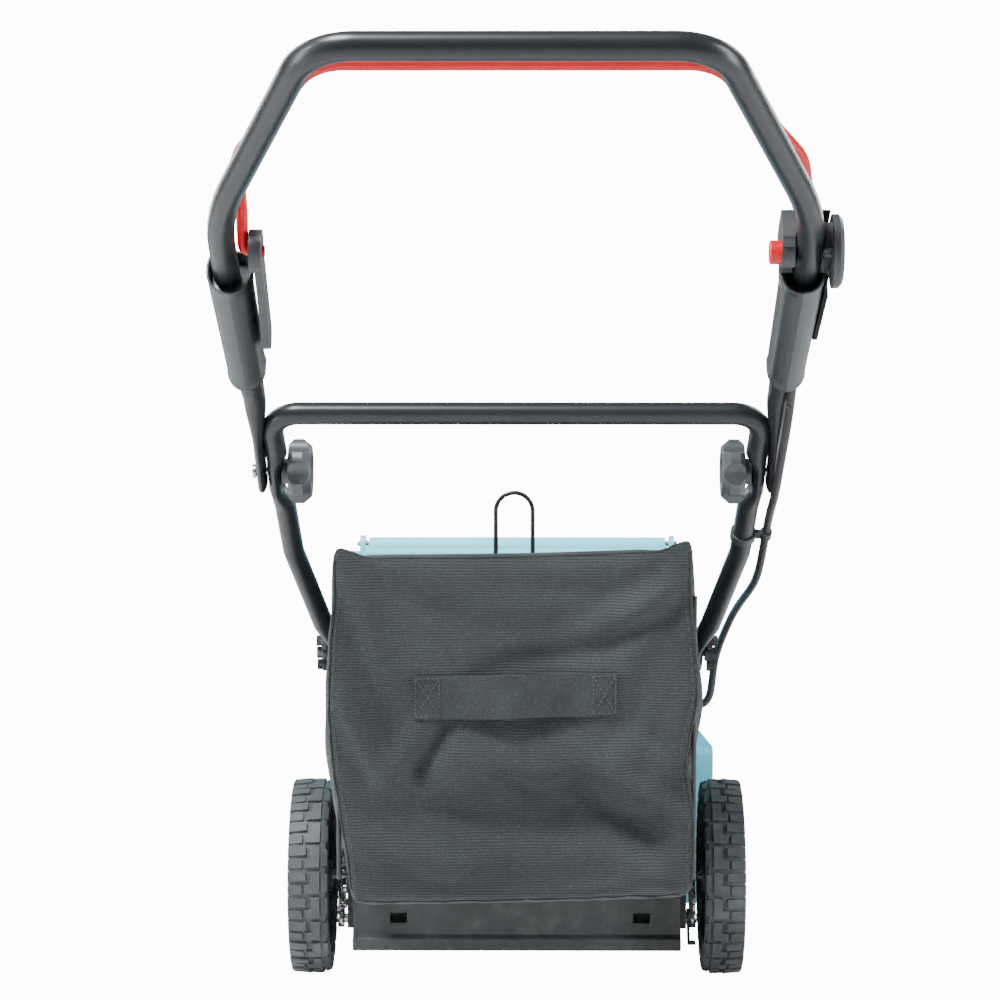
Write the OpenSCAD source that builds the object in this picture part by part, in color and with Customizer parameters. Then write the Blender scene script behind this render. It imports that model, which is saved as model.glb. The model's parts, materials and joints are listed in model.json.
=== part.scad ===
// Walk-behind electric reel mower with folding two-part handle, rear grass bag,
// cranked rear axle for the cutting height and a belt-driven cutting reel.
// +Y is the travel direction, +X the operator's right, +Z up, wheels on z = 0.

/* [Wheels] */
// Rear wheel diameter over the tread
rear_wheel_d = 215; // [205:1:218]
// Rear wheel width
rear_wheel_w = 43; // [36:1:44]
// Front wheel diameter
front_wheel_d = 150; // [130:1:152]
// Front wheel width
front_wheel_w = 31; // [24:1:32]
// Depth of the tread grooves
tread_depth = 4; // [2:0.5:5]

/* [Deck] */
// Half width of the deck and hood over their side walls
deck_half = 186; // [186:1:187]
// Wall thickness of deck and hood
wall = 3; // [2:0.5:4]
// Half width of the rear discharge opening
throat_half = 160; // [140:1:165]

/* [Reel] */
// Radius swept by the reel blades
reel_r = 60; // [55:0.5:60]
// Number of reel blades
blade_count = 5; // [4:1:6]
// Twist of each blade from end to end in degrees
blade_twist = 80; // [40:5:100]
// Thickness of a reel blade
blade_t = 3; // [2:0.5:4]
// Radius of the pulley on the reel shaft
reel_pulley_r = 38; // [30:0.5:38]
// Radius of the pulley on the motor shaft
motor_pulley_r = 14; // [10:0.5:14]

/* [Handle] */
// Upper handle tube diameter
upper_d = 25; // [22:0.5:25]
// Lower handle tube diameter
lower_d = 22; // [20:0.5:22]
// Wall thickness of the handle tubes
tube_wall = 1.5; // [1:0.25:2.5]
// Fold knob diameter
knob_d = 65; // [50:1:68]
// Number of scallops around a fold knob
knob_scallops = 6; // [5:1:8]
// Bail rod diameter
bail_d = 10; // [8:0.5:10]
// Power cable diameter
cable_d = 7.6; // [6:0.2:8]

/* [Bag] */
// Half width of the grass bag
bag_half = 184; // [170:1:184]
// Bottom of the grass bag above the ground
bag_bottom = 146; // [140:1:160]
// Top rear edge of the grass bag above the ground
bag_top = 502; // [480:1:504]
// Distance of the bag's rear face behind the rear axle line
bag_rear = 300; // [240:1:300]
// Height of the webbing hand strap
strap_h = 44; // [30:1:50]
// Bag frame wire diameter
wire_d = 5; // [4:0.5:6]

/* [Hidden] */
$fn = 64;
OX = -5.95;
OY = 177.853;
rw = rear_wheel_d/2;
fw = front_wheel_d/2;
// leg slope: along = (0,-cos,sin), normal = (0,sin,cos)
phi1 = 42.4;
phi2 = 31.3;
P0 = [0,-20,360];
PB = [0,-520.2,804.4];
J = [0,-261,580];
reel_c = [0,240,84];
motor_c = [0,265,198];
axle_c = [0,-25,65];
front_c = [0,382,fw];
flap_c = [0,16,476];
mid_rear = 225.5;
run_gap = 0.07;

// ---------- helpers ----------
function unit(v) = v/norm(v);
function inset(p,d) = [for(i=[0:len(p)-1]) let(a=p[(i+len(p)-1)%len(p)], b=p[i], c=p[(i+1)%len(p)],
  u=unit(b-a), v=unit(c-b), nu=[-u[1],u[0]], nv=[-v[1],v[0]]) b + d*(nu+nv)/(1+nu*nv)];
// corners rounded to short flats
function rounded(p,r,n=4) = [for(i=[0:len(p)-1]) let(a=p[(i+len(p)-1)%len(p)], b=p[i], c=p[(i+1)%len(p)],
  u=unit(a-b), v=unit(c-b), th=acos(u*v), R=r[i], t=R/tan(th/2), ctr=b+unit(u+v)*R/sin(th/2),
  s=b+u*t-ctr, e=b+v*t-ctr, sweep=180-th, sg=(s[0]*e[1]-s[1]*e[0])>0?1:-1)
  each (R<=0 ? [b] : [for(k=[0:n]) let(q=sg*sweep*k/n) ctr+[s[0]*cos(q)-s[1]*sin(q), s[0]*sin(q)+s[1]*cos(q)]])];
module place(p,x,y,z) multmatrix([[x[0],y[0],z[0],p[0]],[x[1],y[1],z[1],p[1]],[x[2],y[2],z[2],p[2]],[0,0,0,1]]) children();
module bar(p,q,ro,ri=0) {
  d=q-p; z=unit(d); h=abs(z[0])<0.9?[1,0,0]:[0,1,0]; x=unit(cross(h,z)); y=cross(z,x);
  place(p,x,y,z) difference() { cylinder(r=ro,h=norm(d)); if(ri>0) translate([0,0,-1]) cylinder(r=ri,h=norm(d)+2); }
}
function turn(P,i) = acos(unit(P[i]-P[i-1])*unit(P[i+1]-P[i]));
function trim(P,R,i) = (i==0||i==len(P)-1) ? 0 : R[i]*tan(turn(P,i)/2);
// round bar or tube along straight runs joined by circular bends
module run(P,R,ro,ri=0) {
  n=len(P);
  for(i=[0:n-2]) { u=unit(P[i+1]-P[i]); bar(P[i]+u*trim(P,R,i), P[i+1]-u*trim(P,R,i+1), ro, ri); }
  for(i=[1:n-2]) {
    a=unit(P[i]-P[i-1]); b=unit(P[i+1]-P[i]); nn=unit(b-(a*b)*a); c=P[i]-a*trim(P,R,i)+nn*R[i];
    place(c,-nn,a,cross(-nn,a)) rotate_extrude(angle=turn(P,i)) translate([R[i],0]) difference() { circle(r=ro); if(ri>0) circle(r=ri); }
  }
}
// stations along a bent path: [point, direction, index of the given point]
function arcs(P,R,i,st) = let(a=unit(P[i]-P[i-1]), b=unit(P[i+1]-P[i]), th=acos(a*b), nn=unit(b-(a*b)*a), t=R[i]*tan(th/2),
  c=P[i]-a*t+nn*R[i], k=max(1,ceil(th/st))) [for(j=[0:k]) let(q=th*j/k) [c-nn*R[i]*cos(q)+a*R[i]*sin(q), a*cos(q)+nn*sin(q), i]];
function stations(P,R,st) = let(n=len(P)) concat([[P[0],unit(P[1]-P[0]),0]],
  [for(i=[1:n-2]) each (R[i]>0 ? arcs(P,R,i,st) : [[P[i],unit(P[i+1]-P[i-1]),i]])], [[P[n-1],unit(P[n-1]-P[n-2]),n-1]]);
function flat(v,T) = unit(v-(v*T)*T);
function sect(c,T,e,a,b,m) = let(f=cross(T,e)) [for(k=[0:m-1]) let(t=360*k/m, s=sin(t), g=abs(s)<1e-6?0:(s>0?1:-1)) c+e*(a*cos(t))+f*(a*s+(b-a)*g)];
// tube or bar swept along a bent path; A and B are its half widths at each given point
module sweep(P,R,A,B,w=0,m=24,st=8,ref=[1,0,0]) {
  S=stations(P,R,st); n=len(S);
  E=[for(i=0, e=flat(ref,S[0][1]); i<n; i=i+1, e=(i<n?flat(e,S[i][1]):e)) e];
  O=[for(i=[0:n-1]) each sect(S[i][0],S[i][1],E[i],A[S[i][2]],B[S[i][2]],m)];
  I=w>0?[for(i=[0:n-1]) each sect(S[i][0],S[i][1],E[i],A[S[i][2]]-w,B[S[i][2]]-w,m)]:[];
  N=n*m;
  side=[for(i=[0:n-2],k=[0:m-1]) let(k1=(k+1)%m,a=i*m+k,b=(i+1)*m+k,c=(i+1)*m+k1,d=i*m+k1) each [[a,b,c],[a,c,d]]];
  inner=w>0?[for(i=[0:n-2],k=[0:m-1]) let(k1=(k+1)%m,a=N+i*m+k,b=N+(i+1)*m+k,c=N+(i+1)*m+k1,d=N+i*m+k1) each [[a,c,b],[a,d,c]]]:[];
  L=(n-1)*m;
  caps=w>0?[for(k=[0:m-1]) let(k1=(k+1)%m) each [[k,k1,N+k1],[k,N+k1,N+k],[L+k1,L+k,N+L+k],[L+k1,N+L+k,N+L+k1]]]
    :[[for(k=[0:m-1]) k],[for(k=[m-1:-1:0]) L+k]];
  polyhedron(points=concat(O,I),faces=concat(side,inner,caps),convexity=10);
}
function mx(p) = [-p[0],p[1],p[2]];
function mir(P) = [for(i=[len(P)-1:-1:0]) mx(P[i])];
function rev(P) = [for(i=[len(P)-1:-1:0]) P[i]];
// a Y-Z outline made solid from x0 to x1
module yz(x0,x1) translate([x0,0,0]) rotate([90,0,90]) linear_extrude(x1-x0) children();
module xcyl(x0,x1,y,z,r) translate([x0,y,z]) rotate([0,90,0]) cylinder(r=r,h=x1-x0);
module block(x0,x1,y0,y1,z0,z1) translate([x0,y0,z0]) cube([x1-x0,y1-y0,z1-z0]);
module pad(w,h) union() { square([w,h-w],center=true); translate([0,(h-w)/2]) circle(d=w); translate([0,-(h-w)/2]) circle(d=w); }
// frames riding on the handle legs: local z runs up the leg, local y is the leg's forward normal
module leg(p,x=0) translate([x,p[1],p[2]]) rotate([90-phi1,0,0]) children();
module loop(p,x=0) translate([x,p[1],p[2]]) rotate([90-phi2,0,0]) children();
function lp(x,u,n) = [x, PB[1]-u*cos(phi2)+n*sin(phi2), PB[2]+u*sin(phi2)+n*cos(phi2)];
function lg(x,a,n) = [x, J[1]-a*cos(phi1)+n*sin(phi1), J[2]+a*sin(phi1)+n*cos(phi1)];
module part() translate([OX,OY,0]) children();
module both() { children(); mirror([1,0,0]) children(); }

// ---------- deck ----------
deck_pts = rounded([[-38,56],[-12,56],[-6,62],[150,62],[168,44],[318,44],[338,62],[428,92],[440,188],[60,236],[-38,236]],
  [4,4,4,8,10,10,10,14,10,0,0]);
module deck_shape() yz(-deck_half,deck_half) polygon(deck_pts);
module deck_housing() color("#23272a") part() difference() {
  deck_shape();
  yz(-deck_half+wall,deck_half-wall) polygon([[-35,50],[335,50],[337,66],[425,95],[436.5,186],[60,233],[-35,233]]);
  block(-deck_half+wall,deck_half-wall,-35,334,30,70);
  yz(-178,178) polygon([[-30,228],[60,228],[420,182],[420,200],[60,242],[-30,242]]);
  block(-throat_half,throat_half,-45,-30,118,240);
  both() xcyl(170,200,reel_c[1],reel_c[2],14);
  xcyl(170,200,motor_c[1],motor_c[2],12);
  both() xcyl(170,200,front_c[1],front_c[2],6+run_gap);
  xcyl(-183,183,front_c[1],front_c[2],8);
  both() xcyl(170,200,axle_c[1],axle_c[2],5+run_gap);
  for(y=[60:16:124]) both() block(170,200,y,y+7,110,150);
}

hood_pts = rounded([[-38,236.4],[60,236.4],[439.9,188.4],[428,232],[330,352],[200,442],[60,463],[-8,455],[-38,300]],
  [0,0,0,16,60,60,30,14,20]);
module hood() color("#2f7f8a") part() {
  difference() {
    yz(-deck_half,deck_half) polygon(hood_pts);
    yz(-deck_half+wall,deck_half-wall) polygon([[-34.6,230],[60,230],[436,180],[424.5,231],[328,349],[198,438.8],[60,459.8],[-5.5,452],[-34.6,300]]);
    block(-throat_half,throat_half,-60,2,200,436);
    for(k=[-3:3]) translate([k*34,352,326]) rotate([52,0,0]) translate([-11,-30,-20]) cube([22,60,40]);
    both() xcyl(170,200,-2,276,2.6);
    both() xcyl(170,200,-15,325,2.6);
  }
  both() difference() {
    union() { block(167,173,6,26,456,476); xcyl(167,173,flap_c[1],flap_c[2],9); }
    xcyl(160,180,flap_c[1],flap_c[2],3+run_gap);
  }
}

module flap_hinge_rod() color("#9aa0a4") part() xcyl(-176,176,flap_c[1],flap_c[2],3);
module flap_panel() color("#2f7f8a") part() {
  difference() {
    union() {
      xcyl(-163,163,flap_c[1],flap_c[2],7);
      yz(-163,163) polygon(rounded([[12,470.6],[12,476.5],[-72,480.5],[-79,477],[-79,473],[-72,474.5]],[0,0,2,2,1,1],2));
    }
    xcyl(-170,170,flap_c[1],flap_c[2],3+run_gap);
    for(x=[-120:60:120]) block(x-4,x+4,-60,-8,477.8,485);
  }
}

belt_out = rounded([[130,40],[298,40],[298,200],[276,227],[130,227]],[26,30,14,14,10]);
belt_in = rounded([[133,41.7],[295,41.7],[295,199],[275,224],[133,224]],[23,27,11,11,7]);
module belt_cover() color("#8ccbd6") part() difference() {
  intersection() {
    yz(186.2,225) polygon(belt_out);
    linear_extrude(400) polygon([[180,100],[225,100],[225,150],[212,298],[180,320]]);
  }
  intersection() {
    yz(180,222) polygon(belt_in);
    linear_extrude(400) polygon([[170,100],[222,100],[222,150],[209,298],[170,320]]);
  }
}

module rear_panel() color("#1d2022") part() difference() {
  union() {
    block(-179,179,-60,-57,37,115);
    block(-179,179,-60,-38.2,112,115);
    yz(-179,179) polygon(rounded([[-60,37],[-60,55],[-67,52],[-67,39]],[0,0,2,2],2));
    both() block(176,179,-60,-42,60,115);
  }
  for(x=[-129,136]) block(x-9,x+9,-64,-50,68,79);
}

module strip(p,t) { // sheet along a Y-Z polyline
  n=len(p);
  nrm=[for(i=[0:n-1]) let(u=i==0?unit(p[1]-p[0]):i==n-1?unit(p[n-1]-p[n-2]):unit(unit(p[i]-p[i-1])+unit(p[i+1]-p[i]))) [-u[1],u[0]]];
  polygon(concat(p,[for(i=[n-1:-1:0]) p[i]+nrm[i]*t]));
}
module chute_floor() color("#2a2e31") part() yz(-182.8,182.8) strip([[-34.5,114],[60,97],[150,62],[184,34]],-2.5);
module chute_deflector() color("#2a2e31") part() difference() {
  yz(-182.8,182.8) strip([[313,62],[307,126],[281,151],[205,153],[150,192],[44,310],[4,430]],2.5);
  both() block(177.6,190,60,180,205,250);
}

module bedknife_bar() color("#3a3f43") part() difference() {
  union() {
    block(-182.6,182.6,190,225,11,19.8);
    both() block(176,182.6,190,225,11,78);
    both() block(170,176.5,190,225,11,26);
  }
  both() xcyl(170,190,207,62,3);
}
module bedknife() color("#aeb4b8") part() difference() {
  block(-168,168,197,233.5,20,24);
  translate([-200,233.5,24]) rotate([-32,0,0]) translate([0,0,-20]) cube([400,20,20]);
}

module motor_body() color("#555b60") part() difference() {
  union() {
    xcyl(-70,120,motor_c[1],motor_c[2],40);
    xcyl(-80,-70,motor_c[1],motor_c[2],26);
    xcyl(120,134,motor_c[1],motor_c[2],30);
    block(60,100,motor_c[1]-20,motor_c[1]+20,motor_c[2]-43.8,motor_c[2]-30);
    block(-50,-10,motor_c[1]-20,motor_c[1]+20,motor_c[2]-43.8,motor_c[2]-30);
  }
  xcyl(60,140,motor_c[1],motor_c[2],6+run_gap);
  for(a=[0:30:330]) translate([0,motor_c[1],motor_c[2]]) rotate([a,0,0]) block(-74,-69,-2,2,32,45);
}
module motor_shaft() color("#b9bec2") part() xcyl(62,207,motor_c[1],motor_c[2],6);
module motor_pulley() color("#8a9094") part() translate([0,motor_c[1],motor_c[2]]) difference() {
  union() { xcyl(196,206,0,0,motor_pulley_r); xcyl(195,196.5,0,0,motor_pulley_r+2); xcyl(205.5,207,0,0,motor_pulley_r+2); }
  xcyl(190,210,0,0,6);
}
bd = norm([motor_c[1]-reel_c[1],motor_c[2]-reel_c[2]]);
ba = atan2(motor_c[2]-reel_c[2],motor_c[1]-reel_c[1]);
bt = asin((reel_pulley_r-motor_pulley_r)/bd);
module drive_belt() color("#17191a") part() {
  ri1=reel_pulley_r+0.4; ri2=motor_pulley_r+0.4; w=7; t=3;
  place([197.5,reel_c[1],reel_c[2]],[0,cos(ba),sin(ba)],[0,-sin(ba),cos(ba)],[1,0,0]) {
    rotate([0,0,90-bt]) rotate_extrude(angle=180+2*bt) translate([ri1,0]) square([t,w]);
    translate([bd,0,0]) rotate([0,0,-90+bt]) rotate_extrude(angle=180-2*bt) translate([ri2,0]) square([t,w]);
    for(s=[1,-1]) mirror([0,s<0?1:0,0]) rotate([0,0,90-bt]) translate([ri1,-bd*cos(bt),0]) cube([t,bd*cos(bt),w]);
  }
}

module reel_bearings() color("#a9afb3") part() both() difference() {
  union() { xcyl(178,190,reel_c[1],reel_c[2],14-0.02); xcyl(186.05,188,reel_c[1],reel_c[2],18); }
  xcyl(170,200,reel_c[1],reel_c[2],8+run_gap);
}
module reel_shaft() color("#c3c8cb") part() { xcyl(-193,208,reel_c[1],reel_c[2],8); xcyl(-196,-190.5,reel_c[1],reel_c[2],12); }
module reel_spiders() color("#6e7478") part() for(x=[-152,-76,0,76,152]) translate([0,reel_c[1],reel_c[2]]) difference() {
  union() { xcyl(x-1.75,x+1.75,0,0,44); xcyl(x-8,x+8,0,0,14); }
  xcyl(x-20,x+20,0,0,8);
  for(a=[0:72:288]) rotate([a,0,0]) xcyl(x-3,x+3,0,28,8);
}
module reel_blades() color("#8f969b") part() translate([-165,reel_c[1],reel_c[2]]) rotate([0,90,0])
  for(k=[0:blade_count-1]) rotate([0,0,k*360/blade_count]) linear_extrude(height=330,twist=blade_twist,slices=22,segments=4,$fn=0)
    polygon([[reel_r,-blade_t/2-2],[reel_r-0.02,blade_t/2-2],[40,blade_t/2+1.5],[40,-blade_t/2+1.5]]);
module reel_pulley() color("#8a9094") part() translate([0,reel_c[1],reel_c[2]]) difference() {
  union() { xcyl(196,206,0,0,reel_pulley_r); xcyl(195,196.5,0,0,reel_pulley_r+2); xcyl(205.5,207,0,0,reel_pulley_r+2); }
  xcyl(190,210,0,0,8);
  for(a=[0:60:300]) rotate([a,0,0]) xcyl(190,210,0,23,7);
}

// ---------- axles and wheels ----------
module front_axle() color("#9ba1a5") part() { xcyl(-223,223,front_c[1],front_c[2],6); both() xcyl(222.5,228,front_c[1],front_c[2],9); }
module axle_rod() color("#8b9195") part() {
  xcyl(-198,198,axle_c[1],axle_c[2],5);
  both() difference() {
    union() {
      xcyl(190,197,axle_c[1],axle_c[2],10); xcyl(190,197,0,rw,11);
      place([190,axle_c[1],axle_c[2]],[0,25/49.3,42.5/49.3],[0,-42.5/49.3,25/49.3],[1,0,0]) translate([0,-8,0]) cube([49.3,16,7]);
    }
    xcyl(180,200,axle_c[1],axle_c[2],4);
  }
  both() xcyl(196.5,245,0,rw,6);
}
module height_lever() color("#3a3f43") part() difference() {
  union() {
    xcyl(187.2,189.8,axle_c[1],axle_c[2],11);
    yz(187.2,189.8) polygon([[-34,70],[-44,44],[-37,40],[-24,56]]);
    block(187.2,196,-45,-38,40,44);
  }
  xcyl(180,200,axle_c[1],axle_c[2],5);
}
module axle_spring() color("#b9bec2") part() {
  difference() { xcyl(-189.5,-186.3,-48,104,5); }
  bar([-188,-48,104],[-188,-30,78],1.2);
  xcyl(-192,-186.3,-30,84,4);
}

module tyre(d,w,lugs,dep,inner) rotate([0,90,0]) difference() {
  rotate_extrude() polygon([[inner,-w/2],[d/2-9,-w/2],[d/2-3,-w/2+2.2],[d/2,-w/2+7],[d/2,w/2-7],[d/2-3,w/2-2.2],[d/2-9,w/2],[inner,w/2]]);
  rotate_extrude() translate([d/2-dep,-1.2]) square([dep+1,2.4]);
  for(i=[0:lugs-1]) {
    rotate([0,0,i*360/lugs]) translate([d/2-dep,-1.4,2.5]) cube([dep+2,2.8,w]);
    rotate([0,0,(i+0.5)*360/lugs]) translate([d/2-dep,-1.4,-2.5-w]) cube([dep+2,2.8,w]);
  }
}
module rim(rt,w,hub,bore,holes,hr) rotate([0,90,0]) difference() {
  union() {
    rotate_extrude() polygon([[rt-6,-w/2+2],[rt,-w/2+2],[rt,w/2-2],[rt-6,w/2-2]]);
    translate([0,0,-3]) cylinder(r=rt-5,h=5);
    translate([0,0,-w/2+1]) cylinder(r=hub,h=w-2);
    for(i=[0:holes-1]) rotate([0,0,(i+0.5)*360/holes]) translate([0,-2,-w/2+6]) cube([rt-5,4,w-12]);
  }
  cylinder(r=bore,h=200,center=true);
  for(i=[0:holes-1]) rotate([0,0,i*360/holes]) translate([(hub+rt)/2,0,0]) cylinder(r=hr,h=60,center=true);
}
module rear_wheel_at(s) translate([s*mid_rear,0,rw]) children();
module rear_tyre_left() color("#3b4145") part() rear_wheel_at(-1) tyre(rear_wheel_d,rear_wheel_w,22,tread_depth,84.02);
module rear_tyre_right() color("#3b4145") part() rear_wheel_at(1) tyre(rear_wheel_d,rear_wheel_w,22,tread_depth,84.02);
module rear_rim_left() color("#2a2e31") part() rear_wheel_at(-1) mirror([1,0,0]) rim(84,rear_wheel_w,17,6+run_gap,6,15);
module rear_rim_right() color("#2a2e31") part() rear_wheel_at(1) rim(84,rear_wheel_w,17,6+run_gap,6,15);
module front_at(s) translate([s*206,front_c[1],fw]) children();
module front_tyre_left() color("#3b4145") part() front_at(-1) tyre(front_wheel_d,front_wheel_w,18,3,58.02);
module front_tyre_right() color("#3b4145") part() front_at(1) tyre(front_wheel_d,front_wheel_w,18,3,58.02);
module front_rim_left() color("#2a2e31") part() front_at(-1) mirror([1,0,0]) rim(58,front_wheel_w,14,6+run_gap,5,11);
module front_rim_right() color("#2a2e31") part() front_at(1) rim(58,front_wheel_w,14,6+run_gap,5,11);

// ---------- brackets and small chassis pieces ----------
module handle_brackets() color("#4a5055") part() both() difference() {
  yz(186.3,189.3) polygon(rounded([[-36,318],[-16,262],[12,262],[12,300],[6,372],[-10,384],[-36,376]],[8,8,8,8,10,10,12]));
  xcyl(180,200,P0[1],P0[2],4+run_gap);
  xcyl(180,200,-2,276,2.6);
  xcyl(180,200,-15,325,2.6);
}
module cable_gland() color("#1c1f21") part() difference() {
  union() { xcyl(186.3,192,30,292,11); xcyl(191.5,200,30,292,8); }
  xcyl(180,210,30,292,cable_d/2+0.3);
}
module housing_screws() color("#7d8387") part() {
  both() { xcyl(180,189.4,-2,276,2.5); xcyl(189.4,192,-2,276,5); }
  both() { xcyl(180,189.4,-15,325,2.5); xcyl(189.4,192,-15,325,5); }
}

// ---------- bag ----------
bagp = [[-44,bag_bottom+4],[-44,463],[-bag_rear,bag_top],[-bag_rear,bag_bottom]];
bag_out = rounded([[-bag_rear,bag_bottom],[-44,bag_bottom+4],[-44,463],[-bag_rear,bag_top]],[30,0,0,22],5);
bag_in = rounded([[-bag_rear+2,bag_bottom+2],[-30,bag_bottom+6],[-30,459],[-bag_rear+2,bag_top-2.1]],[28,0,0,20],5);
module bag_fabric() color("#4b5254") part() difference() {
  yz(-bag_half,bag_half) polygon(bag_out);
  yz(-bag_half+2,bag_half-2) polygon(bag_in);
}
module bag_frame() color("#2b2f32") part() {
  r=wire_d/2; x=bag_half-5; rt=wire_d/2-0.5; yr=-bag_rear+11;
  run([[0,-47,155],[x,-47,155],[x,-47,455],[-x,-47,455],[-x,-47,155],[0,-47,155]],[0,18,18,18,18,0],r);
  both() bar([x,yr,168],[x,yr,457],r);
  both() bar([x,-47,425],[x,yr,447],rt);
  both() bar([x,-47,190],[x,yr,182],rt);
  bar([-x,yr,172],[x,yr,172],rt);
}
module bag_loop() color("#b7bcc0") part() translate([-2.5,-170,0])
  run([[0,0,482.5],[19.2,0,482.5],[19.2,0,549.7],[-19.2,0,549.7],[-19.2,0,482.5],[0,0,482.5]],[0,4,19,19,4,0],2.3);
function sy(x) = abs(x)>78 ? 0 : 9*(1+cos(180*x/78));
module bag_strap() color("#7b8184") part() translate([0,-bag_rear-1.3,336]) linear_extrude(strap_h)
  polygon(concat([for(x=[-103:7.357:103.1]) [x,-sy(x)-1.2]],[for(x=[103:-7.357:-103.1]) [x,-sy(x)+1.2]]));

// ---------- lower handle ----------
lb = [233,-160,488]; lc = [243,-330,643]; la = [199,-20,360];
ldir = unit(lb-la); ldir2 = unit(lc-lb);
lr = lower_d/2;
// the tube is flattened where it is drilled: at its foot and at the fold bolt
lhalf = [lg(197,-326.3-20,0),lg(197,-326.3+18,0),la+ldir*56,lb,lb+ldir2*82,lg(243.4,-26,0),lg(243.4,16,0),lb+ldir2*168,lc];
lA = [6.8,6.8,lr,lr,lr,7.4,7.4,lr,lr];
lB = [13.5,13.5,lr,lr,lr,13.5,13.5,lr,lr];
lR = [0,0,0,40,0,0,0,0,61];
module lower_tube() color("#565d62") part() difference() {
  sweep(concat(lhalf,mir(lhalf)),concat(lR,rev(lR)),concat(lA,rev(lA)),concat(lB,rev(lB)),tube_wall);
  both() xcyl(180,215,P0[1],P0[2],4+run_gap);
  both() xcyl(220,270,J[1],J[2],4+run_gap);
}
ccp = lb+ldir2*30; // tube centre at the cable clip
ccz = ldir2;
module cable_clip() color("#1c1f21") part() {
  cx = unit(cross([0,1,0],ccz)); cy = cross(ccz,cx);
  k = [258,ccp[1],ccp[2]];
  difference() {
    union() {
      bar(ccp-ccz*5,ccp+ccz*5,lr+2.2);
      place(ccp,[1,0,0],unit(cross(ccz,[1,0,0])),unit(cross([1,0,0],unit(cross(ccz,[1,0,0]))))) translate([10,-2.5,-5]) cube([16,5,10]);
      bar(k-ccz*5,k+ccz*5,cable_d/2+2.4);
    }
    bar(ccp-ccz*8,ccp+ccz*8,lr+0.03);
    bar(k-ccz*8,k+ccz*8,cable_d/2+0.3);
  }
}

module wing(s) translate([0,P0[1],P0[2]]) {
  xcyl(186.1,206,0,0,4);
  xcyl(205.2,213,0,0,9);
  xcyl(212.5,219,0,0,6.5);
  for(a=[0,180]) rotate([a+28,0,0]) { yz(208,213) polygon(rounded([[-5,4],[5,4],[9,18],[4,22],[-6,21],[-9,15]],[0,0,3,3,3,3],2)); translate([213-0.01,-4.5,12]) rotate([0,0,0]) cube([6,9,8]); }
}
module wing_knob_right() color("#141617") part() wing();
module wing_knob_left() color("#141617") part() mirror([1,0,0]) wing();

module knob() translate([0,J[1],J[2]]) rotate([0,-90,0]) difference() {
  // local z points inward from the handle leg
  union() {
    translate([0,0,-235.9]) cylinder(r=13,h=8);
    translate([0,0,-229]) rotate_extrude() polygon([[0,0],[knob_d/2-5,0],[knob_d/2,5],[knob_d/2,15],[knob_d/2-7,23],[19,23],[15,19],[0,19]]);
  }
  for(i=[0:knob_scallops-1]) rotate([0,0,(i+0.5)*360/knob_scallops]) translate([knob_d/2+9,0,-240]) cylinder(r=15,h=60);
  translate([0,0,-240]) cylinder(r=4+run_gap,h=26);
}
module fold_knob_right() color("#5d6468") part() knob();
module fold_knob_left() color("#5d6468") part() mirror([1,0,0]) knob();

// ---------- upper handle ----------
u0 = lg(257.5,140,0);
u1 = [268,-480,780]; u2 = lp(268,107.7-47,0); u3 = lp(169.5,374.7-47,0);
ur = upper_d/2; uri = upper_d/2-tube_wall;
uhalf = [lg(256.8,-17,0),lg(256.8,44,0),lg(255.6,118,0),lg(257.9,146,0),u1,u2,u3];
uA = [5.2,5.2,11,ur,ur,ur,ur];
uB = [15,15,11,ur,ur,ur,ur];
uR = [0,0,0,0,110,390,55];
module upper_tube() color("#474e53") part() difference() {
  sweep(concat(uhalf,mir(uhalf)),concat(uR,rev(uR)),concat(uA,rev(uA)),concat(uB,rev(uB)),tube_wall);
  both() xcyl(240,280,J[1],J[2],4+run_gap);
}
module fold_bolts() color("#9aa0a4") part() both() { xcyl(218,262.5,J[1],J[2],4); xcyl(262.3,266,J[1],J[2],7); }

// hollow clamshell grips over the legs; local z up the leg from the fold bolt
sl_side = [[-22,164],[-16,158],[16,158],[22,164],[22,304],[14,318],[-10,300],[-22,288]];
module sleeve_shell() difference() {
  intersection() {
    leg(J) rotate([90,0,90]) translate([0,0,230]) linear_extrude(70) polygon(rounded(sl_side,[2,3,3,2,6,8,10,8],3));
    leg(J) translate([0,-40,0]) rotate([90,0,0]) mirror([0,0,1]) linear_extrude(80) polygon([[240,120],[275.6,120],[277,200],[286,296],[286,330],[244,330],[244,296]]);
  }
  intersection() {
    leg(J) rotate([90,0,90]) translate([0,0,230]) linear_extrude(70) polygon([[-19,100],[19,100],[19,340],[-19,340]]);
    leg(J) translate([0,-40,0]) rotate([90,0,0]) mirror([0,0,1]) linear_extrude(80) polygon([[243,100],[272.6,100],[274,200],[283,296],[283,350],[247,350],[247,296]]);
  }
}
module sleeve_ribs() difference() {
  union() {
    leg(J) translate([242,-20.5,172]) cube([33.6,41,3]);
    leg(J) translate([243.6,-20.5,230]) cube([35,41,3]);
  }
  run([u0-(u1-u0)*0.2,u1,u2],[0,110,0],ur+0.05);
  leg(J) translate([266,-15.2,100]) cylinder(d=cable_d+0.6,h=100);
}
module sleeve() { sleeve_shell(); sleeve_ribs(); }
// parting plane down the middle of the grip, leaning with its taper
module outer_half() place(lg(257.85,131,0),[cos(2.62),0,-sin(2.62)],[0,1,0],[sin(2.62),0,cos(2.62)]) children();
module side_cut() leg(J) translate([0,-60,0]) rotate([90,0,0]) mirror([0,0,1]) linear_extrude(120) polygon([[257.8,90],[265.4,296],[266.5,360],[330,360],[330,90]]);
module side_cut_in() leg(J) translate([0,-60,0]) rotate([90,0,0]) mirror([0,0,1]) linear_extrude(120) polygon([[257.75,90],[265.35,296],[266.45,360],[200,360],[200,90]]);
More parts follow.
